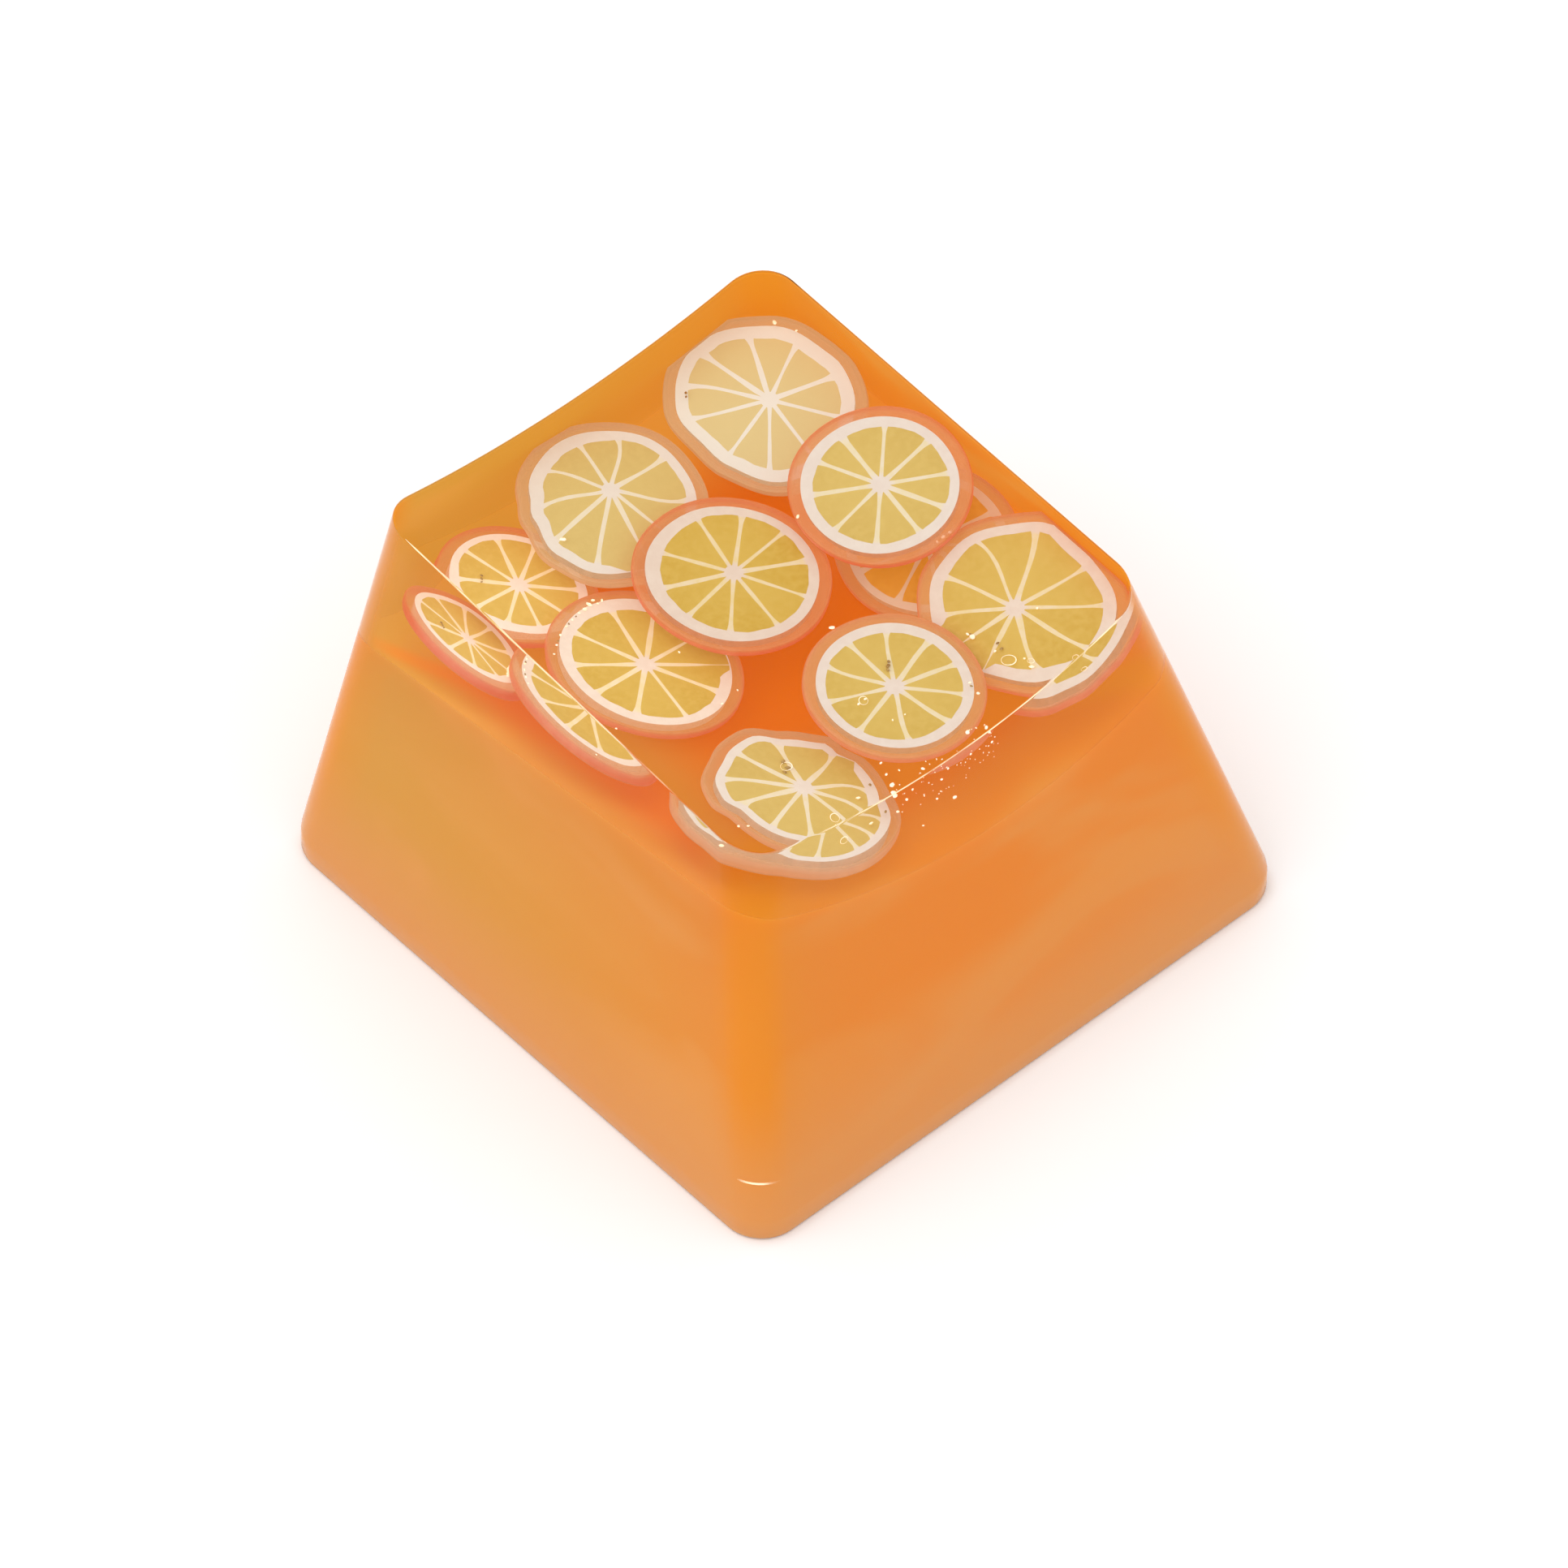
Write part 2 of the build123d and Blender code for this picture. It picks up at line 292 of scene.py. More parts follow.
class ClayLook(bpy.types.PropertyGroup):
    """Colours of the clays."""

    flesh: colour("Flesh", "Yellow of the segments", (0.60, 0.350, 0.020))
    flesh_light: colour("Light flesh", "Paler grain in the segments", (0.70, 0.455, 0.075))
    flesh_pale: colour("Pale flesh", "Segments seen through haze", (0.72, 0.62, 0.30))
    pith: colour("Pith", "Pale ring and hub", (0.765, 0.60, 0.49))
    pith_pale: colour("Pale pith", "Ring and hub seen through haze", (0.80, 0.82, 0.78))
    pith_grain: colour("Pith grain", "Paler grain in the ring and hub", (0.84, 0.70, 0.59))
    membrane: colour("Membrane", "Pale lines between the segments", (0.80, 0.62, 0.31))
    rind: colour("Rind", "Upper face of the skin", (0.40, 0.188, 0.055))
    rind_grain: colour("Rind grain", "Paler grain in the skin", (0.55, 0.29, 0.13))
    rind_side: colour("Rind side", "Outer edge of the skin", (0.42, 0.09, 0.04))
    sunk: colour("Sunk clay", "Colour that a slice deep in the resin keeps of its own", (0.98, 0.74, 0.40))
    # Rind glow, rind side glow and pale rind glow are painted glow: emission for light through the skin that brightens
    # its shade
    rind_glow: colour("Rind glow", "Light that passes through the skin", (0.42, 0.17, 0.04))
    side_glow: colour("Rind side glow", "Light that passes through the skin's outer edge", (0.45, 0.080, 0.032))
    rind_pale: colour("Pale rind", "Skin seen through haze", (0.42, 0.27, 0.14))
    pale_glow: colour("Pale rind glow", "Light that passes through skin seen through haze", (0.35, 0.20, 0.09))
    fleck: colour("Fleck", "Brown specks in the resin", (0.36, 0.19, 0.05))
    fleck_thin: colour("Thin fleck", "Specks where they are thin", (0.62, 0.40, 0.12))
    # Grain and warm grain colour the grains and bubble rims, which glow with them as painted glints
    grain: colour("Grain", "Bright grains and bubble rims", (0.97, 0.86, 0.70))
    grain_warm: colour("Warm grain", "Warmer spots on the grains", (1.0, 0.74, 0.42))


class StageLook(bpy.types.PropertyGroup):
    """Camera, floor and light."""

    azimuth: angle("Azimuth", "Direction that the camera looks from", -42.968)
    elevation: angle("Elevation", "Height of the camera over the horizon", 49.643)
    roll: angle("Roll", "Turn of the picture", 1.064)
    distance: length("Distance", "Distance from the camera to the cap", 405.6)
    aim_height: length("Aim height", "Height of the point that the camera is set from", 5.0)
    aim_across: length("Aim across", "Shift of the camera to the side", -0.0486)
    aim_up: length("Aim up", "Shift of the camera in the picture's upward direction", -1.1955)
    lens: factor("Lens", "Focal length in millimetres", 368.26, 1000.0)
    floor: colour("Floor", "Colour of the floor", (0.95, 0.95, 0.95))
    floor_size: length("Floor size", "Half the width of the floor", 1500.0)
    world_light: factor("World light", "Strength of the even light from all round", 0.95, 5.0)
    key_light: factor("Key light", "Power of the large soft lamp", 0.30, 100.0)
    key_size: length("Key size", "Width of the large soft lamp", 300.0)


def trough(x, y, middle, floor, radius, tilt):
    """Height of a round trough that runs front to back and is tilted."""
    sag = radius - math.sqrt(radius ** 2 - (x - middle) ** 2)
    return floor + y * math.tan(tilt) + sag / math.cos(tilt)


class CapGeometry:
    """Walls, dish and bowls of the cap, worked out from its sizes."""

    SOLVE_ROUNDS = 14

    def __init__(self, scene):
        self.form = form = scene.keycap_form
        self.bed = bed = scene.keycap_bed
        self.top = form.back_height + form.dish_depth
        front, back = self.front_y(form.front_height), self.back_y(form.back_height)
        self.tilt = math.atan2(form.back_height - form.front_height, back - front)
        self.dish_floor = form.front_height - form.dish_depth - front * math.tan(self.tilt)
        self.dish_radius = (self.half_width(form.front_height) ** 2 + form.dish_depth ** 2) / (2 * form.dish_depth)
        self.front_edge, self.back_edge = front / math.cos(self.tilt), back / math.cos(self.tilt)
        self.pour_drop = bed.pour_level * bed.pitch
        self.middle = Vector((0, (front + back) / 2, 0))

    def rise(self, z):
        return max(z - self.form.lip_height, 0)

    def half_width(self, z):
        return self.form.rim_width / 2 - self.rise(z) * math.tan(self.form.side_draft)

    def front_y(self, z):
        return -self.form.rim_depth / 2 + self.rise(z) * math.tan(self.form.front_draft)

    def back_y(self, z):
        return self.form.rim_depth / 2 - self.rise(z) * math.tan(self.form.back_draft)

    def dish(self, x, y):
        return trough(x, y, 0, self.dish_floor, self.dish_radius, self.tilt)

    def pour(self, x, y):
        floor = self.dish_floor - self.bed.bed_cover - self.pour_drop
        radius = self.bed.bed_radius + self.pour_drop
        return trough(x, y, self.bed.bed_shift, floor, radius, self.tilt + self.bed.pour_lean)

    def outline(self, z, inset=0.0, radius=None):
        """Points round the walls at a height, each with the same index at every height."""
        r = self.form.corner_radius if radius is None else radius
        half = self.half_width(z) - inset
        front, back = self.front_y(z) + inset, self.back_y(z) - inset
        corners = ((half - r, front + r), (half - r, back - r), (r - half, back - r), (r - half, front + r))
        arcs = []
        for quarter, (x, y) in enumerate(corners):
            turns = [math.pi / 2 * (quarter - 1 + step / CORNER_STEPS) for step in range(CORNER_STEPS + 1)]
            arcs.append([Vector((x + r * math.cos(t), y + r * math.sin(t), z)) for t in turns])
        points = []
        for arc, following in zip(arcs, arcs[1:] + arcs[:1]):
            points += arc
            points += [arc[-1].lerp(following[0], step / SIDE_STEPS) for step in range(1, SIDE_STEPS)]
        return points

    def meet(self, surface, drop=0.0, inset=0.0):
        """Ring of points where the walls reach a drop under a surface."""
        ring = []
        for low, high in zip(self.outline(self.form.lip_height, inset), self.outline(self.top, inset)):
            point = high
            for _ in range(self.SOLVE_ROUNDS):
                share = (surface(point.x, point.y) - drop - low.z) / (high.z - low.z)
                point = low.lerp(high, share)
            ring.append(point)
        return ring

    def spread(self, ring, surface, steps, drop=0.0):
        """Rings on a surface, from near its middle out to a ring."""
        rings = []
        for step in range(1, steps + 1):
            flat = [self.middle.lerp(Vector((p.x, p.y, 0)), step / steps) for p in ring]
            rings.append([Vector((p.x, p.y, surface(p.x, p.y) - drop)) for p in flat])
        return rings

    def centre(self, surface, drop=0.0):
        return Vector((self.middle.x, self.middle.y, surface(self.middle.x, self.middle.y) - drop))

    def slice_matrix(self, side, across, end, along, level):
        """Frame of a slice's upper face: flat on the bowl of its level."""
        bed = self.bed
        y = (self.front_edge + self.back_edge + end * (self.back_edge - self.front_edge)) / 2 + along
        edge_height = self.dish_floor + self.form.dish_depth + y * math.sin(self.tilt)
        x = side * self.half_width(edge_height) + across
        radius = bed.bed_radius + level * bed.pitch
        lean = math.asin((x - bed.bed_shift) / radius)
        height = bed.bed_radius - bed.bed_cover - radius * math.cos(lean)
        dish_plane = Matrix.Translation((0, 0, self.dish_floor)) @ Matrix.Rotation(self.tilt, 4, "X")
        return dish_plane @ Matrix.Translation((x, y, height)) @ Matrix.Rotation(-lean, 4, "Y")

    def wall_planes(self, inset):
        """Outward normal and offset of each drafted wall, moved in by an inset."""
        form = self.form
        walls = (
            ((1, 0), form.rim_width, form.side_draft),
            ((-1, 0), form.rim_width, form.side_draft),
            ((0, -1), form.rim_depth, form.front_draft),
            ((0, 1), form.rim_depth, form.back_draft),
        )
        for (x, y), size, draft in walls:
            slope = math.tan(draft)
            yield Vector((x, y, slope)), size / 2 + form.lip_height * slope - inset


def skin(rings, start, end):
    """Points and faces of a closed skin over rings of equal count, closed by a point at each end."""
    count = len(rings[0])
    points = [start] + [p for ring in rings for p in ring] + [end]
    last = len(points) - 1
    faces = []
    for i in range(count):
        j = (i + 1) % count
        faces.append((0, 1 + i, 1 + j))
        for ring in range(len(rings) - 1):
            a, b = 1 + ring * count, 1 + (ring + 1) * count
            faces.append((a + i, b + i, b + j, a + j))
        a = 1 + (len(rings) - 1) * count
        faces.append((a + i, last, a + j))
    return points, faces


def joined(lumps):
    """Points and faces of many closed skins as one."""
    points, faces = [], []
    for lump_points, lump_faces in lumps:
        start = len(points)
        points += lump_points
        faces += [tuple(start + i for i in face) for face in lump_faces]
    return points, faces


def tube_faces(around, across):
    """Faces of a closed tube with its points in rings of equal count, one ring after the other."""
    faces = []
    for i in range(around):
        j = (i + 1) % around
        for k in range(across):
            m = (k + 1) % across
            faces.append((i * across + k, i * across + m, j * across + m, j * across + k))
    return faces


def make_piece(name, points, faces, material, slot, node, sharp=40.0):
    """Mesh object that rides the cap and stands for one CAD node."""
    mesh = bpy.data.meshes.new(name)
    mesh.from_pydata([tuple(p) for p in points], [], faces)
    mesh.validate()
    mesh.shade_smooth()
    mesh.set_sharp_from_angle(angle=math.radians(sharp))
    mesh.materials.append(material)
    piece = bpy.data.objects.new(name, mesh)
    bpy.context.scene.collection.objects.link(piece)
    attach(piece, "root")
    if node:
        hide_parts(node)
    return piece


def paint(piece, name, values):
    """Gives each point of a piece a number that its material reads."""
    piece.data.attributes.new(name, "FLOAT", "POINT").data.foreach_set("value", values)


def put(tree, socket, value):
    """Sets an input, or links it where the value is a socket."""
    if isinstance(value, bpy.types.NodeSocket):
        tree.links.new(value, socket)
    elif socket.type == "RGBA" and len(value) == 3:
        socket.default_value = (*value, 1.0)
    else:
        socket.default_value = value


def fill(tree, node, **inputs):
    """Sets a node's inputs by name, with _ for a space."""
    for name, value in inputs.items():
        put(tree, node.inputs[name.replace("_", " ")], value)
    return node


def add_node(tree, kind, **inputs):
    """Shader node with its inputs set."""
    return fill(tree, tree.nodes.new(kind), **inputs)


def blend(tree, fac, first, second, way="MIX"):
    """Mix of two colours."""
    made = tree.nodes.new("ShaderNodeMix")
    made.data_type = "RGBA"
    made.blend_type = way
    put(tree, made.inputs[0], fac)
    put(tree, made.inputs[6], first)
    put(tree, made.inputs[7], second)
    return made.outputs[2]


def tinted(tree, hue, tint):
    """Product of two colours."""
    return blend(tree, 1.0, hue, tint, "MULTIPLY")


def remap(tree, value, low, high):
    """Number from 0 to 1 as a value goes from low to high, smoothly."""
    made = tree.nodes.new("ShaderNodeMapRange")
    made.interpolation_type = "SMOOTHSTEP"
    put(tree, made.inputs[0], value)
    made.inputs[1].default_value = low
    made.inputs[2].default_value = high
    return made.outputs[0]


def maths(tree, operation, *values):
    """Sum or product of numbers and sockets."""
    made = tree.nodes.new("ShaderNodeMath")
    made.operation = operation
    for socket, value in zip(made.inputs, values):
        put(tree, socket, value)
    return made.outputs[0]


def own_number(tree, name):
    """Number painted on the piece's points."""
    made = tree.nodes.new("ShaderNodeAttribute")
    made.attribute_name = name
    return made.outputs["Fac"]


def object_place(tree):
    """Place in the piece's own frame."""
    return tree.nodes.new("ShaderNodeTexCoord").outputs["Object"]


def mix_shaders(tree, fac, first, second):
    """Mix of two shader nodes."""
    made = add_node(tree, "ShaderNodeMixShader", Fac=fac)
    put(tree, made.inputs[1], first.outputs[0])
    put(tree, made.inputs[2], second.outputs[0])
    return made.outputs[0]


def new_group(name, inputs, outputs):
    """Node group with its inputs, named with their defaults, and its outputs, named with their kinds."""
    group = bpy.data.node_groups.new(name, "ShaderNodeTree")
    for label, default in inputs.items():
        kind = "NodeSocketFloat" if isinstance(default, float) else "NodeSocketColor"
        group.interface.new_socket(label, in_out="INPUT", socket_type=kind).default_value = default
    for label, kind in outputs.items():
        group.interface.new_socket(label, in_out="OUTPUT", socket_type=kind)
    return group, group.nodes.new("NodeGroupInput").outputs, group.nodes.new("NodeGroupOutput").inputs


def mottle_group():
    """Grain of pressed clay: a colour broken up by a lighter one, and a height for bump."""
    group, given, result = new_group(
        "Clay Mottle",
        {"Colour": WHITE, "Grain Colour": WHITE, "Scale": 4000.0, "Amount": 0.5, "Sunk": 0.0, "Sunk Colour": WHITE},
        {"Colour": "NodeSocketColor", "Height": "NodeSocketFloat"},
    )
    place = object_place(group)
    grain = add_node(group, "ShaderNodeTexNoise", Vector=place, Scale=given["Scale"], Detail=3.0, Roughness=0.6)
    height = grain.outputs["Fac"]
    share = maths(group, "MULTIPLY", remap(group, height, 0.35, 0.7), given["Amount"])
    mixed = blend(group, share, given["Colour"], given["Grain Colour"])
    sunk = tinted(group, mixed, given["Sunk Colour"])
    put(group, result["Colour"], blend(group, given["Sunk"], mixed, sunk))
    put(group, result["Height"], height)
    return group


def hue_group():
    """Hue of the milky resin: it drifts round the cap, with pale swirls, richer corners that are painted shading, and
    a paler foot.
    """
    group, given, result = new_group(
        "Milky Hue",
        {"Left": WHITE, "Right": WHITE, "Swirl": WHITE, "Corner": WHITE, "Foot": WHITE, "Cornering": 0.0},
        {"Colour": "NodeSocketColor"},
    )
    place = object_place(group)
    parts = add_node(group, "ShaderNodeSeparateXYZ", Vector=place).outputs
    across = maths(group, "SUBTRACT", parts["X"], parts["Y"])
    stretch = add_node(group, "ShaderNodeMapping", Vector=place, Rotation=(0.3, 0.5, 0.7), Scale=(0.7, 1.0, 2.2))
    swirl = add_node(group, "ShaderNodeTexNoise", Vector=stretch.outputs[0], Scale=150.0, Detail=2.5)
    fill(group, swirl, Roughness=0.45, Distortion=0.8)
    mask = remap(group, swirl.outputs["Fac"], 0.42, 0.72)
    hue = blend(group, remap(group, across, -0.016, 0.007), given["Left"], given["Right"])
    hue = blend(group, maths(group, "MULTIPLY", mask, 0.6), hue, given["Swirl"])
    hue = blend(group, given["Cornering"], hue, given["Corner"])
    hue = blend(group, remap(group, parts["Z"], 0.0045, 0.0), hue, given["Foot"])
    put(group, result["Colour"], hue)
    return group


def use_group(tree, name, maker, **inputs):
    """Outputs of a node group placed in a material with its own values."""
    made = tree.nodes.new("ShaderNodeGroup")
    made.node_tree = bpy.data.node_groups.get(name) or maker()
    return fill(tree, made, **inputs).outputs


def material_of(maker, look):
    """Material with its maker's name, made the first time: the maker dresses its Principled shader."""
    material = bpy.data.materials.get(maker.__name__)
    if not material:
        material = bpy.data.materials.new(maker.__name__)
        material.use_nodes = True
        maker(material.node_tree, material.node_tree.nodes["Principled BSDF"], look)
    return material


def bump(tree, shader, height, strength):
    """Feeds a height into the shader's normal."""
    made = add_node(tree, "ShaderNodeBump", Height=height, Distance=0.02 * MM, Strength=strength)
    fill(tree, shader, Normal=made.outputs[0])


def milky_hue(tree, look):
    """Colour of the milky resin."""
    return use_group(
        tree,
        "Milky Hue",
        hue_group,
        Left=look.left_wall,
        Right=look.right_wall,
        Swirl=look.pale_swirl,
        Corner=look.corner,
        Foot=look.pale_foot,
        Cornering=own_number(tree, "corner"),
    )["Colour"]


def milky_pour(tree, shader, look):
    """Milky resin: swirled walls, and a bright orange bowl under the slices, in part painted shade, lit by a painted
    glow that stands in for light passed on through the resin.
    """
    wall = milky_hue(tree, look)
    margin = remap(tree, own_number(tree, "bowl"), 0.45, 0.95)
    bowl = blend(tree, margin, look.pour_middle, tinted(tree, wall, look.pour_margin))
    share = blend(tree, own_number(tree, "far"), look.near_glow, look.margin_glow)
    glow = blend(tree, margin, look.middle_glow, tinted(tree, wall, share))
    # Painted shade on the wall under the seam, fading downwards
    outer = blend(tree, own_number(tree, "seam"), wall, tinted(tree, wall, look.seam))
    inside = own_number(tree, "inside")
    fill(tree, shader, Base_Color=blend(tree, inside, outer, bowl), Roughness=0.16, Specular_IOR_Level=0.15)
    # Painted glow on the bowl: emission standing in for light scattered through the resin
    fill(tree, shader, Emission_Color=blend(tree, inside, BLACK, glow), Emission_Strength=1.0)
    fill(tree, shader, Subsurface_Weight=0.35, Subsurface_Scale=0.8 * MM, Subsurface_Radius=(1.0, 0.75, 0.45))


def pour_veil(tree, shader, look):
    """Haze of milky resin inside a wall, with a painted glow that is stronger on the side of the slices."""
    hue = milky_hue(tree, look)
    share = blend(tree, own_number(tree, "inner"), look.veil_glow, look.margin_glow)
    haze = remap(tree, own_number(tree, "haze"), 0.0, 1.0)
    fill(tree, shader, Base_Color=tinted(tree, hue, look.pour_margin), Roughness=0.6, Specular_IOR_Level=0.0)
    fill(tree, shader, Emission_Color=tinted(tree, hue, share), Emission_Strength=1.0, Alpha=haze)


def edge_shine(tree, shader, look):
    """Painted highlight: a bright line where the dish's edge catches the light, fading along its length."""
    streaks = add_node(tree, "ShaderNodeTexNoise", Vector=object_place(tree), Scale=900.0, Detail=2.0)
    patchy = remap(tree, streaks.outputs["Fac"], 0.3, 0.6)
    shine = maths(tree, "MULTIPLY", patchy, own_number(tree, "shine"))
    fill(tree, shader, Base_Color=look.glint, Roughness=0.3, Alpha=shine)
    fill(tree, shader, Emission_Color=look.glint, Emission_Strength=0.35)


def clear_pour(tree, shader, look):
    """Clear resin: plain glass that tints with depth and lets lamp light through to the slices."""
    fill(tree, shader, Roughness=0.015, IOR=1.5, Transmission_Weight=1.0, Specular_Tint=(0.15, 0.15, 0.15))
    tint = add_node(tree, "ShaderNodeVolumeAbsorption", Color=look.clear_tint, Density=look.clear_density)
    path = tree.nodes.new("ShaderNodeLightPath").outputs
    passing = maths(tree, "MAXIMUM", path["Is Shadow Ray"], path["Is Diffuse Ray"])
    surface = mix_shaders(tree, passing, shader, tree.nodes.new("ShaderNodeBsdfTransparent"))
    fill(tree, tree.nodes["Material Output"], Surface=surface, Volume=tint.outputs[0])


def clay_grain(tree, look, base, grain, scale, amount):
    """Colour and height of a clay, tinted by the resin over it where its slice is sunk."""
    return use_group(
        tree,
        "Clay Mottle",
        mottle_group,
        Colour=base,
        Grain_Colour=grain,
        Scale=scale,
        Amount=amount,
        Sunk=own_number(tree, "sunk"),
        Sunk_Colour=look.sunk,
    )


def wheel_clay(tree, shader, look, mask, colours, scale, amount, relief):
    """Clay of a slice's wheel: a mask turns its colour to another; it has a grain, is paler in haze and has a painted
    glow.
    """
    plain, masked, grained, pale = colours
    base = blend(tree, own_number(tree, mask), plain, masked)
    grain = clay_grain(tree, look, base, grained, scale, amount)
    tone = blend(tree, own_number(tree, "pale"), grain["Colour"], pale)
    # Painted glow: an emission that brightens the slice out of the shade of those above it
    light = blend(tree, own_number(tree, "lift"), BLACK, tone)
    fill(tree, shader, Base_Color=tone, Roughness=0.5, Emission_Color=light, Emission_Strength=0.4)
    bump(tree, shader, grain["Height"], relief)


def citrus_flesh(tree, shader, look):
    """Yellow segments with a paler grain."""
    colours = look.flesh, look.flesh_light, look.flesh_light, look.flesh_pale
    wheel_clay(tree, shader, look, "tone", colours, scale=5200.0, amount=0.55, relief=0.4)


def citrus_pith(tree, shader, look):
    """Pale ring and hub, creamier along the membranes."""
    colours = look.pith, look.membrane, look.pith_grain, look.pith_pale
    wheel_clay(tree, shader, look, "membrane", colours, scale=3500.0, amount=0.4, relief=0.3)


def citrus_rind(tree, shader, look):
    """Orange skin that lets some of what is under it show, coral at its outer edge, with a painted glow for light
    through it.
    """
    edge, pale = own_number(tree, "edge"), own_number(tree, "pale")
    base = blend(tree, pale, blend(tree, edge, look.rind, look.rind_side), look.rind_pale)
    glow = blend(tree, pale, blend(tree, edge, look.rind_glow, look.side_glow), look.pale_glow)
    grain = clay_grain(tree, look, base, look.rind_grain, scale=3000.0, amount=0.2)
    fill(tree, shader, Base_Color=grain["Colour"], Roughness=0.45, Alpha=own_number(tree, "cover"))
    # Painted glow: emission for light through the skin, which also keeps its shaded parts from going brown
    fill(tree, shader, Emission_Color=glow, Emission_Strength=1.0)
    bump(tree, shader, grain["Height"], 0.4)


def bright_grain(tree, shader, look):
    """Grains and bubble rims with painted glints: an emission makes them shine."""
    hue = clay_grain(tree, look, look.grain, look.grain_warm, scale=9000.0, amount=0.8)["Colour"]
    fill(tree, shader, Base_Color=hue, Roughness=0.15, Emission_Color=hue, Emission_Strength=0.45)


def brown_fleck(tree, shader, look):
    """Brown specks, paler where they are thin."""
    hue = clay_grain(tree, look, look.fleck, look.fleck_thin, scale=9000.0, amount=0.7)["Colour"]
    fill(tree, shader, Base_Color=hue, Roughness=0.4)


def floor_paper(tree, shader, look):
    """Plain pale floor."""
    fill(tree, shader, Base_Color=look.floor, Roughness=0.9)


def cornering(index):
    """How far a point of an outline lies into a rounded corner, from 0 to 1."""
    fade = 1.35
    middle = CORNER_STEPS / 2
    off = abs(index % WALL_STEPS - middle) / middle
    return min(max(fade - off, 0.0), 1.0)


def by_wall(index, walls, spread=CORNER_STEPS):
    """Value at a point of an outline from those of the right, back, left and front walls, blended after a corner."""
    side, place = divmod(index, WALL_STEPS)
    share = min(place / spread, 1.0)
    return walls[side - 1] + (walls[side] - walls[side - 1]) * share


def ring_at(radius, z, guide):
    """Circle about the post's axis, each point in the direction of a guide point."""
    made = []
    for p in guide:
        turn = math.atan2(p.y, p.x)
        made.append(Vector((radius * math.cos(turn), radius * math.sin(turn), z)))
    return made


def cross_ring(form, z, guide):
    """Outline of the cross-shaped socket, with a point on each of its twelve corners."""
    long, wide, narrow = form.cross_length / 2, form.cross_wide / 2, form.cross_narrow / 2
    made = []
    for p in guide:
        turn = math.atan2(p.y, p.x)
        c, s = max(abs(math.cos(turn)), 1e-9), max(abs(math.sin(turn)), 1e-9)
        reach = max(min(long / c, wide / s), min(narrow / c, long / s))
        made.append(Vector((reach * math.cos(turn), reach * math.sin(turn), z)))
    for x, y in ((long, wide), (narrow, long), (narrow, wide)):
        for sx in (-1, 1):
            for sy in (-1, 1):
                corner = Vector((sx * x, sy * y, z))
                nearest = min(range(len(made)), key=lambda i: (made[i] - corner).length)
                made[nearest] = corner
    return made


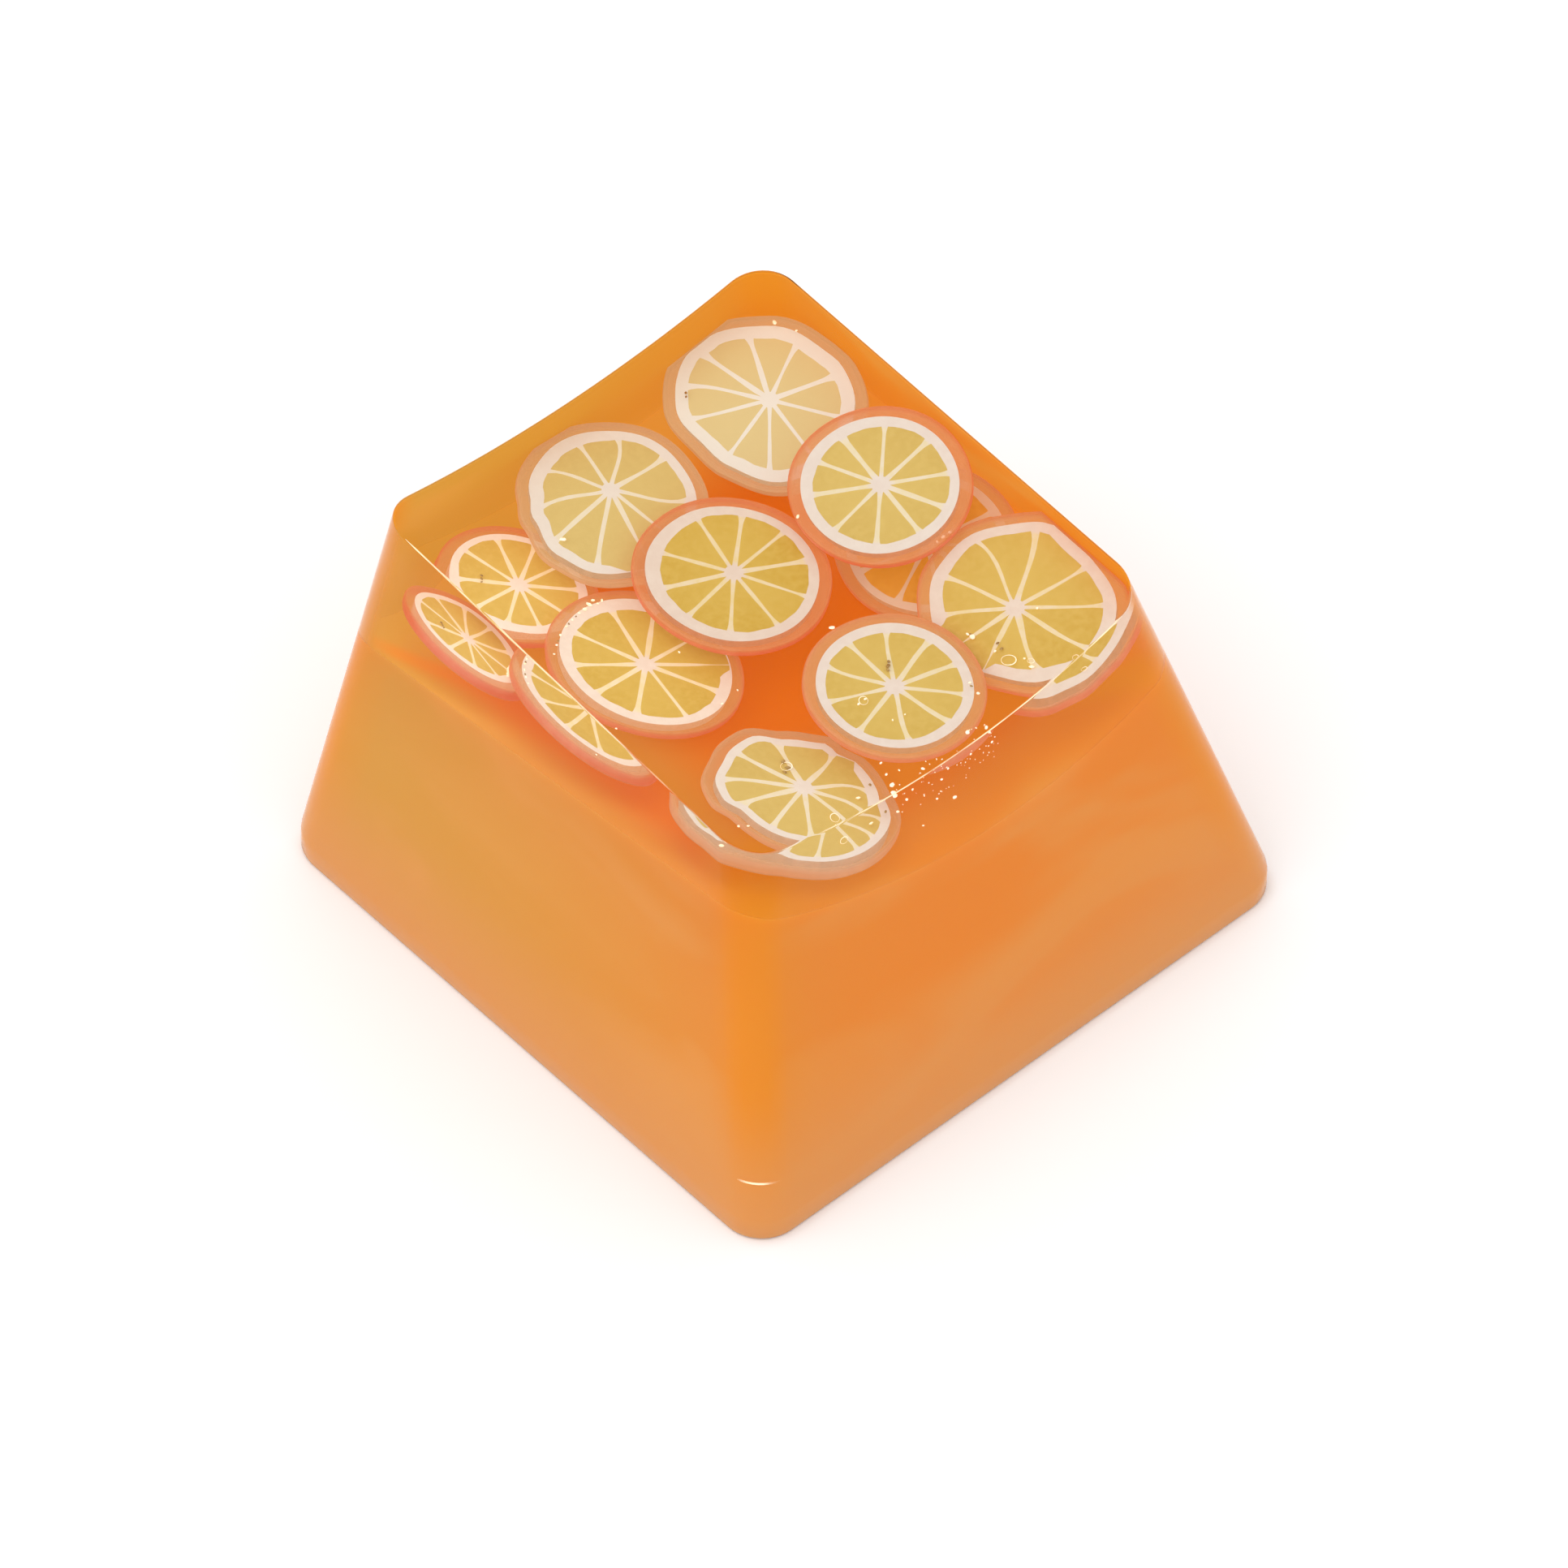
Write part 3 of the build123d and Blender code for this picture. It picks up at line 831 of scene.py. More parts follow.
class KEYCAP_OT_milky_body(bpy.types.Operator):
    """Builds the milky pour: walls, lip, rim, hollow underside and the post with its cross-shaped socket"""

    bl_idname = "keycap.milky_body"
    bl_label = "Milky Body"

    BOWL_STEPS = 16
    # Shares of the way to the bowl's edge at which it has its extra rings
    VERGE = (0.990, 0.997)
    SIDE_RINGS = 10
    # Rings under the bowl's edge over which its painted shade fades into the wall's colour, and how fast
    SEAM_RINGS = 4
    SEAM_POWER = 1.3
    # Shares by wall, as by_wall takes them
    BOWL_WALLS = (1.0, 1.0, 1.0, 1.3)
    SEAM_WALLS = (0.0, 0.0, 1.0, 0.0)
    # Far walls take the margin share of painted glow, the others the near share
    FAR_WALLS = (1.0, 1.0, 0.0, 0.4)

    def execute(self, context):
        cap = CapGeometry(context.scene)
        meeting = cap.meet(cap.pour)
        bowl, walls, under = self.bowl(cap, meeting), self.walls(cap, meeting), self.underside(cap)
        end = Vector((0, 0, cap.form.post_recess + cap.form.cross_depth))
        points, faces = skin(bowl + walls + under, cap.centre(cap.pour), end)
        material = material_of(milky_pour, context.scene.keycap_resin)
        body = make_piece("milky_body", points, faces, material, "cloudy_resin", "cloudy_body")
        self.number(body, len(bowl) - len(self.VERGE), len(bowl + walls), len(bowl + walls + under))
        return {"FINISHED"}

    def bowl(self, cap, meeting):
        """Rings on the bowl under the slices, out to its edge and closer together there."""
        rings = cap.spread(meeting, cap.pour, self.BOWL_STEPS)
        for share in self.VERGE:
            verge = [cap.middle.lerp(Vector((p.x, p.y, 0)), share) for p in meeting]
            rings.insert(-1, [Vector((p.x, p.y, cap.pour(p.x, p.y))) for p in verge])
        return rings

    def walls(self, cap, meeting):
        """Rings from below the bowl's edge down the walls and the lip."""
        lip, easing = cap.form.lip_height, cap.form.edge_radius
        foot = cap.outline(lip)
        rings = []
        for step in range(1, self.SIDE_RINGS):
            rings.append([top.lerp(low, step / self.SIDE_RINGS) for top, low in zip(meeting, foot)])
        return rings + [cap.outline(lip + easing / 2), cap.outline(lip - easing / 2), cap.outline(easing)]

    def underside(self, cap):
        """Rings round the rim's foot, up the hollow, down the post and up its socket."""
        form, easing = cap.form, cap.form.edge_radius
        roof, corner = form.hollow_depth, form.hollow_corner
        hollow = [
            cap.outline(easing / 4, easing / 4),
            cap.outline(0, easing),
            cap.outline(0, form.rim_wall - easing, corner),
            cap.outline(easing, form.rim_wall, corner),
            cap.outline(roof - easing, form.roof_wall, corner),
            cap.outline(roof, form.roof_wall + easing, corner),
        ]
        guide = hollow[-1]
        post, end = form.post_diameter / 2, form.post_recess
        return hollow + [
            ring_at(post + easing, roof, guide),
            ring_at(post, roof - easing, guide),
            ring_at(post, end + easing / 2, guide),
            ring_at(post - easing / 2, end, guide),
            cross_ring(form, end, guide),
            cross_ring(form, end + form.cross_depth, guide),
        ]

    def number(self, body, bowl_rings, outer_rings, all_rings):
        """Paints what the milky resin reads: where a point lies in the bowl, by a corner, the seam or a far wall, for
        its painted glow and shade.
        """
        places = range(4 * WALL_STEPS)
        bowl, inside, corner, seam, far = [0.0], [1.0], [0.0], [0.0], [0.0]
        for index in range(all_rings):
            depth = (index + 1) / bowl_rings
            below = index - bowl_rings - 1
            near = max(1 - max(below, 0) / self.SEAM_RINGS, 0) ** self.SEAM_POWER if below >= -1 else 0.0
            bowl += [min(depth * by_wall(i, self.BOWL_WALLS), 1.0) for i in places]
            inside += [1.0 if index < bowl_rings else 0.0 for _ in places]
            corner += [cornering(i) if index < outer_rings else 0.0 for i in places]
            seam += [near * by_wall(i, self.SEAM_WALLS) for i in places]
            far += [by_wall(i, self.FAR_WALLS, 2 * CORNER_STEPS) for i in places]
        paint(body, "bowl", bowl + [1.0])
        for name, values in (("inside", inside), ("corner", corner), ("seam", seam), ("far", far)):
            paint(body, name, values + [0.0])


class KEYCAP_OT_clear_top(bpy.types.Operator):
    """Builds the clear pour: the dished top with its eased edge and the upper part of the walls"""

    bl_idname = "keycap.clear_top"
    bl_label = "Clear Top"

    DISH_STEPS = 18
    EDGE_STEPS = (0.2, 0.4, 0.6, 0.8)
    SIDE_RINGS = 5
    BOWL_STEPS = 6
    # How far the underside lies inside the walls and in the milky pour
    TUCK = 0.006 * MM
    SINK = 0.25 * MM

    def execute(self, context):
        cap = CapGeometry(context.scene)
        easing = cap.form.dish_edge
        edge = cap.meet(cap.dish)
        below = cap.meet(cap.dish, drop=easing)
        inner = cap.meet(cap.dish, inset=easing)
        rings = cap.spread(inner, cap.dish, self.DISH_STEPS)
        for step in self.EDGE_STEPS:
            rings.append([a.lerp(b, step).lerp(b.lerp(c, step), step) for a, b, c in zip(inner, edge, below)])
        meeting = cap.meet(cap.pour)
        for step in range(self.SIDE_RINGS + 1):
            rings.append([top.lerp(low, step / self.SIDE_RINGS) for top, low in zip(below, meeting)])
        tucked = cap.meet(cap.pour, drop=self.SINK, inset=self.TUCK)
        rings.append(tucked)
        rings += reversed(cap.spread(tucked, cap.pour, self.BOWL_STEPS, drop=self.SINK)[:-1])
        points, faces = skin(rings, cap.centre(cap.dish), cap.centre(cap.pour, drop=self.SINK))
        for point in points:
            point.z = min(point.z, CAD_BOX[1].z)
        material = material_of(clear_pour, context.scene.keycap_resin)
        make_piece("clear_dome", points, faces, material, "clear_resin", "clear_top", sharp=60.0)
        return {"FINISHED"}


class KEYCAP_OT_milky_veil(bpy.types.Operator):
    """Builds the haze inside the right and back walls, where the milky pour has crept up"""

    bl_idname = "keycap.milky_veil"
    bl_label = "Milky Veil"

    INSETS = (0.03 * MM, 0.055 * MM)
    ROWS = 5
    # How far it ends under the pour's edge and under the dish
    LOW_DROP = 0.04 * MM
    HIGH_DROP = 0.13 * MM
    # Points of the outline that it starts and ends at, and how many it fades over
    FIRST = 2
    LAST = 2 * WALL_STEPS + CORNER_STEPS + 2
    FADE = 6

    def execute(self, context):
        cap = CapGeometry(context.scene)
        low = [cap.meet(cap.pour, drop=self.LOW_DROP, inset=inset) for inset in self.INSETS]
        high = [cap.meet(cap.dish, drop=self.HIGH_DROP, inset=inset) for inset in self.INSETS]
        rows = [row / self.ROWS for row in range(self.ROWS + 1)]
        rings, haze, inner, corner = [], [], [], []
        for index in range(self.FIRST, self.LAST + 1):
            upward = [low[0][index].lerp(high[0][index], row) for row in rows]
            downward = [high[1][index].lerp(low[1][index], row) for row in rows]
            rings.append(upward + downward)
            dense = min((index - self.FIRST) / self.FADE, (self.LAST - index) / self.FADE, 1.0)
            haze += [dense] * len(rings[-1])
            inner += [0.0] * len(upward) + [1.0] * len(downward)
            corner += [cornering(index)] * len(rings[-1])
        ends = [sum(ring, Vector()) / len(ring) for ring in (rings[0], rings[-1])]
        material = material_of(pour_veil, context.scene.keycap_resin)
        veil = make_piece("milky_veil", *skin(rings, *ends), material, "cloudy_resin", None)
        for name, values in (("haze", haze), ("inner", inner), ("corner", corner)):
            paint(veil, name, [0.0] + values + [0.0])
        return {"FINISHED"}


class KEYCAP_OT_edge_shine(bpy.types.Operator):
    """Builds painted highlights: thin bright lines inside the dish's left and front edges, and a short one on the
    front-left corner
    """

    bl_idname = "keycap.edge_shine"
    bl_label = "Edge Shine"

    DEPTH = 0.03 * MM
    THICK = 0.016 * MM
    # A short painted highlight on the wall's front-left corner: its thickness and its height
    CORNER_THICK = 0.03 * MM
    CORNER_HEIGHT = 1.75 * MM
    SIDES = 6
    TIP = 0.3

    def execute(self, context):
        cap = CapGeometry(context.scene)
        edge = cap.meet(cap.dish, drop=self.DEPTH, inset=self.DEPTH)
        left, front = 2 * WALL_STEPS, 3 * WALL_STEPS
        corner = cap.outline(self.CORNER_HEIGHT)[front + 2:front + CORNER_STEPS - 1]
        lines = (
            (edge[left + CORNER_STEPS:front], self.THICK, lambda share: 0.85 * (1 - share) ** 0.8),
            (edge[front + CORNER_STEPS:] + edge[:2], self.THICK, lambda share: 0.5 + 0.45 * share),
            (corner, self.CORNER_THICK, lambda share: math.sin(math.pi * share)),
        )
        tubes, shine = [], []
        for path, thick, bright in lines:
            tubes.append(self.tube(path, thick))
            shares = [bright(place / (len(path) - 1)) for place in range(len(path))]
            shine += [0.0] + [share for share in shares for _ in range(self.SIDES)] + [0.0]
        material = material_of(edge_shine, context.scene.keycap_resin)
        line = make_piece("edge_shine", *joined(tubes), material, "clear_resin", None)
        paint(line, "shine", shine)
        return {"FINISHED"}

    def tube(self, path, thick):
        """Thin round line along a path, fine at both ends."""
        rings = []
        for place, here in enumerate(path):
            along = (path[min(place + 1, len(path) - 1)] - path[max(place - 1, 0)]).normalized()
            out = along.cross(Vector((0, 0, 1))).normalized()
            up = out.cross(along)
            size = thick * (self.TIP if place in (0, len(path) - 1) else 1.0)
            turns = [LAP * k / self.SIDES for k in range(self.SIDES)]
            rings.append([here + (out * math.cos(t) + up * math.sin(t)) * size for t in turns])
        return skin(rings, path[0], path[-1])


def random_waves(rng, counts, size):
    """Waves round a circle, smaller the more there are: count, size and start."""
    return [(n, rng.uniform(-1, 1) * size / n, rng.uniform(*STARTS)) for n in counts]


def wave_at(waves, turn):
    """Sum of waves in a direction, about 1."""
    return 1 + sum(size * math.cos(n * turn + start) for n, size, start in waves)


class CitrusSlice:
    """One slice as a grid of points round its hub: rows from the hub out, columns along and between the spokes."""

    # Shares of the way from the hub to the flesh's end at which the rows lie
    ROWS = (0.0, 0.1, 0.25, 0.42, 0.6, 0.76, 0.87, 0.95, 1.0)
    # Each slice draws from its own seed: its number times a step, from a start
    SEED_STEP, SEED_START = 101, 7
    # Waves round the pale ring and along its inner edge, and their sizes
    RING_WAVES, RING_WAVE = (2, 3, 4, 5, 7), 0.018
    PITH_WAVES, PITH_WAVE = (1, 2, 3, 5), 0.22
    FINE_WAVES, FINE_WAVE, FINE_SPAN = (8, 11, 15, 19, 25), 0.022, (0.4, 1.0)
    # Spans that the membranes' widths are drawn from, as shares of the usual one
    WIDTH_SPAN = (0.8, 1.25)
    # How much of the ring and of the membranes goes where they have worn away, how soft the gap's ends are, and
    # where along the membranes it starts and over how much of them
    RING_WEAR = 0.9
    MEMBRANE_WEAR = 0.85
    WEAR_FADE = math.radians(9)
    FADE_START, FADE_SPAN = 0.5, 0.3
    # Membranes: how far each may swell and how fast along its length, and how much all flare by the ring, from a
    # share of the way to it, and by the hub
    SWELL, SWELL_RATE = 0.22, 7
    RING_FLARE, FLARE_START = 0.9, 0.8
    HUB_FLARE = 0.25
    # Flesh: how light its lightest segment is, and how much lighter all are by the hub and by the membranes
    LIGHTEST = 0.45
    HUB_TONE = 0.4
    SIDE_TONE = 0.25

    def __init__(self, cap, spec):
        number, side, across, end, along, level, ring, pith, hub_x, hub_y = spec
        self.number, self.bed = number, cap.bed
        self.sunk, self.pale, self.lift, self.cover, self.skin = TONES[number]
        self.ring_radius = ring * MM
        self.hub = Vector((hub_x * MM, hub_y * MM))
        self.matrix = cap.slice_matrix(side, across * MM, end, along * MM, level)
        self.planes = list(cap.wall_planes(self.bed.wall_cover))
        self.pith = pith * MM
        self.marks = [(math.radians(turn), reach * MM) for turn, reach in RINGS.get(number, ())]
        self.worn = [math.radians(value) for value in WORN.get(number, ())]
        self.spokes = [math.radians(turn) for turn in SPOKES[number]]
        self.bows = [math.radians(bow) for bow in BOWS.get(number, [0.0] * SEGMENTS)]
        self.columns = SEGMENTS * SEGMENT_COLUMNS
        rng = random.Random(number * self.SEED_STEP + self.SEED_START)
        self.widths = [self.bed.membrane_width / 2 * rng.uniform(*self.WIDTH_SPAN) for _ in range(SEGMENTS)]
        self.waves = random_waves(rng, self.RING_WAVES, self.RING_WAVE)
        self.pith_waves = random_waves(rng, self.PITH_WAVES, self.PITH_WAVE)
        self.tones = [rng.uniform(0.0, self.LIGHTEST) for _ in range(SEGMENTS)]
        for n in self.FINE_WAVES:
            self.pith_waves.append((n, rng.uniform(*self.FINE_SPAN) * self.FINE_WAVE, rng.uniform(*STARTS)))
        self.swell = [(rng.uniform(-self.SWELL, self.SWELL), rng.uniform(*STARTS)) for _ in range(SEGMENTS)]

    def wall_reach(self, turn):
        """How far from the hub a slice can go in a direction before it meets a wall."""
        step = self.matrix.to_3x3() @ Vector((math.cos(turn), math.sin(turn), 0))
        reach = 1.0
        for z in (0, -self.bed.thickness):
            start = self.matrix @ Vector((self.hub.x, self.hub.y, z))
            for normal, offset in self.planes:
                toward = normal.dot(step)
                if toward > 1e-6:
                    reach = min(reach, (offset - normal.dot(start)) / toward)
        return reach

    def ring_reach(self, turn):
        """Distance from the hub to the pale ring's outer edge."""
        if self.marks:
            turn %= LAP
            marks = [(t + LAP * k, reach) for k in (-1, 0, 1) for t, reach in self.marks]
            after = next(i for i, (t, _) in enumerate(marks) if t > turn)
            (start, low), (stop, high) = marks[after - 1], marks[after]
            share = (turn - start) / (stop - start)
            return low + (high - low) * (1 - math.cos(math.pi * share)) / 2
        lean = self.hub.x * math.cos(turn) + self.hub.y * math.sin(turn)
        ring = math.sqrt(lean ** 2 + self.ring_radius ** 2 - self.hub.length_squared) - lean
        return ring * wave_at(self.waves, turn)

    def wear(self, turn):
        """How much of the pale ring is worn away in a direction, from 0 to 1."""
        if not self.worn:
            return 0.0
        middle, half = self.worn
        off = abs(math.remainder(turn - middle, LAP))
        share = min(max((half - off) / self.WEAR_FADE + 0.5, 0.0), 1.0)
        return share * share * (3 - 2 * share)

    def radii(self, turn):
        """Distances from the hub to the flesh's end, the pale ring's outer edge and the rind's outer edge."""
        bed = self.bed
        ring = self.ring_reach(turn)
        outer = min(ring + bed.rind_width, self.wall_reach(turn))
        ring = min(ring, outer - bed.rind_width / 4)
        pith = self.pith * wave_at(self.pith_waves, turn) * (1 - self.RING_WEAR * self.wear(turn))
        return ring - pith, ring, outer

    def membrane(self, spoke, share, distance):
        """Half the angle that a membrane takes up at a share of the way from the hub to the flesh's end."""
        toward = max(0.0, (share - self.FLARE_START) / (1 - self.FLARE_START))
        flare = 1 + self.RING_FLARE * toward ** 2 + self.HUB_FLARE * (1 - share) ** 3
        fading = min(max((share - self.FADE_START) / self.FADE_SPAN, 0.0), 1.0)
        worn = self.MEMBRANE_WEAR * fading * self.wear(self.spokes[spoke])
        size, phase = self.swell[spoke]
        thin = (1 - worn) * (1 + size * math.sin(self.SWELL_RATE * share + phase))
        return self.widths[spoke] * flare * thin / distance

    def turn_at(self, column, share, reach):
        """Angle of a column at a share of the way from the hub to the flesh's end."""
        segment, line = divmod(column, SEGMENT_COLUMNS)
        following = (segment + 1) % SEGMENTS
        bow = 4 * share * (1 - share)
        start = self.spokes[segment] + self.bows[segment] * bow
        if line == 0:
            return start
        stop = self.spokes[following] + (0 if following else LAP) + self.bows[following] * bow
        distance = self.bed.hub_radius + share * (reach - self.bed.hub_radius)
        start += self.membrane(segment, share, distance)
        stop -= self.membrane(following, share, distance)
        if start > stop:
            start = stop = (start + stop) / 2
        return start + (stop - start) * (line - 1) / (WEDGE_LINES - 1)

    def tone(self, row, column):
        """How light the flesh is at a place: each segment differs, and all are lighter by the hub and membranes."""
        segment, line = divmod(column, SEGMENT_COLUMNS)
        side = abs(line - SEGMENT_COLUMNS / 2) / (WEDGE_LINES / 2)
        by_hub, by_side = self.HUB_TONE * (1 - self.ROWS[row]), self.SIDE_TONE * side ** 3
        return min(self.tones[segment] + by_hub + by_side, 1.0)

    def point(self, turn, distance, z=0.0):
        flat = Vector((self.hub.x + distance * math.cos(turn), self.hub.y + distance * math.sin(turn), z))
        return self.matrix @ flat

    def grid(self):
        """Upper points by row and column, the last row on the pale ring's outer edge."""
        bed = self.bed
        rows = [[] for _ in range(len(self.ROWS) + 1)]
        for column in range(self.columns):
            reach = self.radii(self.turn_at(column, 1.0, self.ring_radius))[0]
            for row, share in enumerate(self.ROWS):
                turn = self.turn_at(column, share, reach)
                distance = bed.hub_radius + share * (self.radii(turn)[0] - bed.hub_radius)
                rows[row].append((turn, distance))
            turn = rows[len(self.ROWS) - 1][column][0]
            rows[len(self.ROWS)].append((turn, self.radii(turn)[1]))
        return rows


def thick_part(cells, placed, thickness):
    """Closed plate over the cells of a grid: points, faces and the grid place of each point."""
    used = sorted({key for cell in cells for key in cell})
    index = {key: i for i, key in enumerate(used)}
    count = len(used)
    points = [placed(key, 0.0) for key in used] + [placed(key, -thickness) for key in used]
    faces = [tuple(index[key] for key in cell) for cell in cells]
    edges = dict.fromkeys((a, b) for face in faces for a, b in zip(face, face[1:] + face[:1]))
    walls = [(b, a, a + count, b + count) for a, b in edges if (b, a) not in edges]
    under = [tuple(i + count for i in reversed(face)) for face in faces]
    return points, faces + under + walls, used + used


class KEYCAP_OT_citrus_slices(bpy.types.Operator):
    """Builds the slices of citrus cane, each as its rind, its wheel of pith and its flesh segments"""

    bl_idname = "keycap.citrus_slices"
    bl_label = "Citrus Slices"

    # How much paler the pith of a sunk slice is, how much more painted glow pith gets than flesh and how much less
    # when sunk
    SUNK_PALE = 0.45
    PITH_LIFT = 1.6
    SUNK_LIFT = 1.15
    # How much the skin's outer edge covers, and the least share of the skin's width inside its rounding
    EDGE_COVER = 0.95
    LEAST_FLAT = 0.1

    def execute(self, context):
        cap = CapGeometry(context.scene)
        look = context.scene.keycap_clay
        makers = {"rind": citrus_rind, "pith": citrus_pith, "flesh": citrus_flesh}
        clays = {part: material_of(maker, look) for part, maker in makers.items()}
        for spec in SLICES:
            self.build(CitrusSlice(cap, spec), clays)
        return {"FINISHED"}

    def build(self, cut, clays):
        rows = cut.grid()
        last = len(rows) - 1
        columns = cut.columns
        flesh, pith = [], []
        for column in range(columns):
            following = (column + 1) % columns
            pith.append(((-1, 0), (0, column), (0, following)))
            for row in range(last):
                cell = ((row, column), (row + 1, column), (row + 1, following), (row, following))
                in_flesh = row < last - 1 and 1 <= column % SEGMENT_COLUMNS < WEDGE_LINES
                (flesh if in_flesh else pith).append(cell)

        def placed(key, z):
            row, column = key
            turn, distance = (0.0, 0.0) if row < 0 else rows[row][column]
            return cut.point(turn, distance, z)

        def add(part, points, faces):
            node = f"slice_{cut.number:02d}_{part}"
            name = f"{part}_{cut.number:02d}"
            piece = make_piece(name, points, faces, clays[part], part + "_clay", node)
            pale, lift = cut.pale, cut.lift
            if part == "pith":
                pale += self.SUNK_PALE * cut.sunk
                lift = min(lift * (self.PITH_LIFT - self.SUNK_LIFT * cut.sunk), 1.0)
            elif part == "rind":
                pale = max(cut.skin, 0.0)
            for label, value in (("sunk", cut.sunk), ("pale", pale), ("lift", lift)):
                paint(piece, label, [value] * len(points))
            return piece

        points, faces, keys = thick_part(flesh, placed, cut.bed.thickness)
        paint(add("flesh", points, faces), "tone", [cut.tone(row, column) for row, column in keys])
        points, faces, keys = thick_part(pith, placed, cut.bed.thickness)
        wheel = add("pith", points, faces)
        paint(wheel, "membrane", [1.0 if 0 < row < last - 1 else 0.0 for row, _ in keys])
        points, faces, edge = self.rind(cut, rows[last])
        skin_ring = add("rind", points, faces)
        paint(skin_ring, "edge", [max(value, -cut.skin) for value in edge])
        paint(skin_ring, "cover", [cut.cover + (self.EDGE_COVER - cut.cover) * value for value in edge])

    def rind(self, cut, inner):
        """Ring with a rounded outer edge, and a number for each point that is 1 on that edge."""
        thick, soft = cut.bed.thickness, cut.bed.rind_rounding
        profile = (
            (None, 0.0, 0.0),
            (1.6 * soft, 0.0, 0.05),
            (soft, 0.0, 0.15),
            (0.3 * soft, -0.3 * soft, 0.5),
            (0.0, -soft, 0.9),
            (0.0, soft - thick, 1.0),
            (0.3 * soft, 0.3 * soft - thick, 0.6),
            (soft, -thick, 0.2),
            (None, -thick, 0.0),
        )
        points, edge = [], []
        for turn, start in inner:
            outer = cut.radii(turn)[2]
            for back, z, share in profile:
                distance = start if back is None else max(outer - back, start + (outer - start) * self.LEAST_FLAT)
                points.append(cut.point(turn, distance, z))
                edge.append(share)
        faces = tube_faces(len(inner), len(profile))
        return points, faces, edge


class KEYCAP_OT_inclusions(bpy.types.Operator):
    """Builds the grains with painted glints, the brown flecks and the bubble rims, painted highlights, caught in the
    clear pour
    """

    bl_idname = "keycap.inclusions"
    bl_label = "Inclusions"

    SEED = 41
    # The grains shine with painted glints from their material's emission
    # Grains and flecks: spans that the three sizes, the lean and the lumps are drawn from, and their grid
    SIZES = ((0.9, 1.3), (0.65, 0.95), (0.5, 0.75))
    LEAN = (-0.6, 0.6)
    LUMPS = (0.82, 1.12)
    COLUMNS, ROWS = 9, 6
    # Bubble rims, painted highlights: grid, how oval they are, how thick and how uneven
    AROUND, ACROSS = 26, 6
    OVAL = 0.09
    THICK, UNEVEN = 0.06, 0.03

    def execute(self, context):
        look = context.scene.keycap_clay
        rng = random.Random(self.SEED)
        bright = material_of(bright_grain, look)
        brown = material_of(brown_fleck, look)
        count, low, high, sizes = DUST_AND_GLINTS
        dust = []
        for _ in range(count):
            place = [rng.uniform(a, b) for a, b in zip(low, high)]
            dust.append(self.bead(rng, *place, rng.uniform(*sizes)))
        grains = [self.bead(rng, *spec) for spec in GRAINS_AND_GLINTS]
        make_piece("grains_and_glints", *joined(dust + grains), bright, "clear_resin", None)
        flecks = [self.bead(rng, *spec) for spec in FLECKS]
        make_piece("brown_flecks", *joined(flecks), brown, "clear_resin", None)
        rims = [self.rim(rng, *spec) for spec in BUBBLES]
        make_piece("bubble_rim_highlights", *joined(rims), bright, "clear_resin", None)
        return {"FINISHED"}

    def bead(self, rng, x, y, z, radius):
        """Lump with an uneven surface, longer one way."""
        centre = Vector((x, y, z)) * MM
        spin = Matrix.Rotation(rng.uniform(*STARTS), 3, "Z") @ Matrix.Rotation(rng.uniform(*self.LEAN), 3, "X")
        sizes = Vector([rng.uniform(*span) for span in self.SIZES]) * radius * MM

        def place(tilt, turn):
            lump = rng.uniform(*self.LUMPS)
            round_point = Vector((math.sin(tilt) * math.cos(turn), math.sin(tilt) * math.sin(turn), math.cos(tilt)))
            return centre + spin @ (round_point * sizes * lump)

        turns = [LAP * k / self.COLUMNS for k in range(self.COLUMNS)]
        rings = [[place(math.pi * row / self.ROWS, turn) for turn in turns] for row in range(1, self.ROWS)]
        return skin(rings, place(0, 0), place(math.pi, 0))

    def rim(self, rng, x, y, z, radius):
        """Uneven ring that lies flat: a painted highlight for the bright rim of a bubble."""
        centre = Vector((x, y, z)) * MM
        start = rng.uniform(*STARTS)
        points = []
        for i in range(self.AROUND):
            turn = LAP * i / self.AROUND
            reach = radius * MM * (1 + self.OVAL * math.cos(2 * turn + start))
            thick = radius * MM * (self.THICK + self.UNEVEN * math.cos(turn + start))
            for k in range(self.ACROSS):
                tilt = LAP * k / self.ACROSS
                out = reach + thick * math.cos(tilt)
                points.append(centre + Vector((out * math.cos(turn), out * math.sin(turn), thick * math.sin(tilt))))
        return points, [(a, d, c, b) for a, b, c, d in tube_faces(self.AROUND, self.ACROSS)]


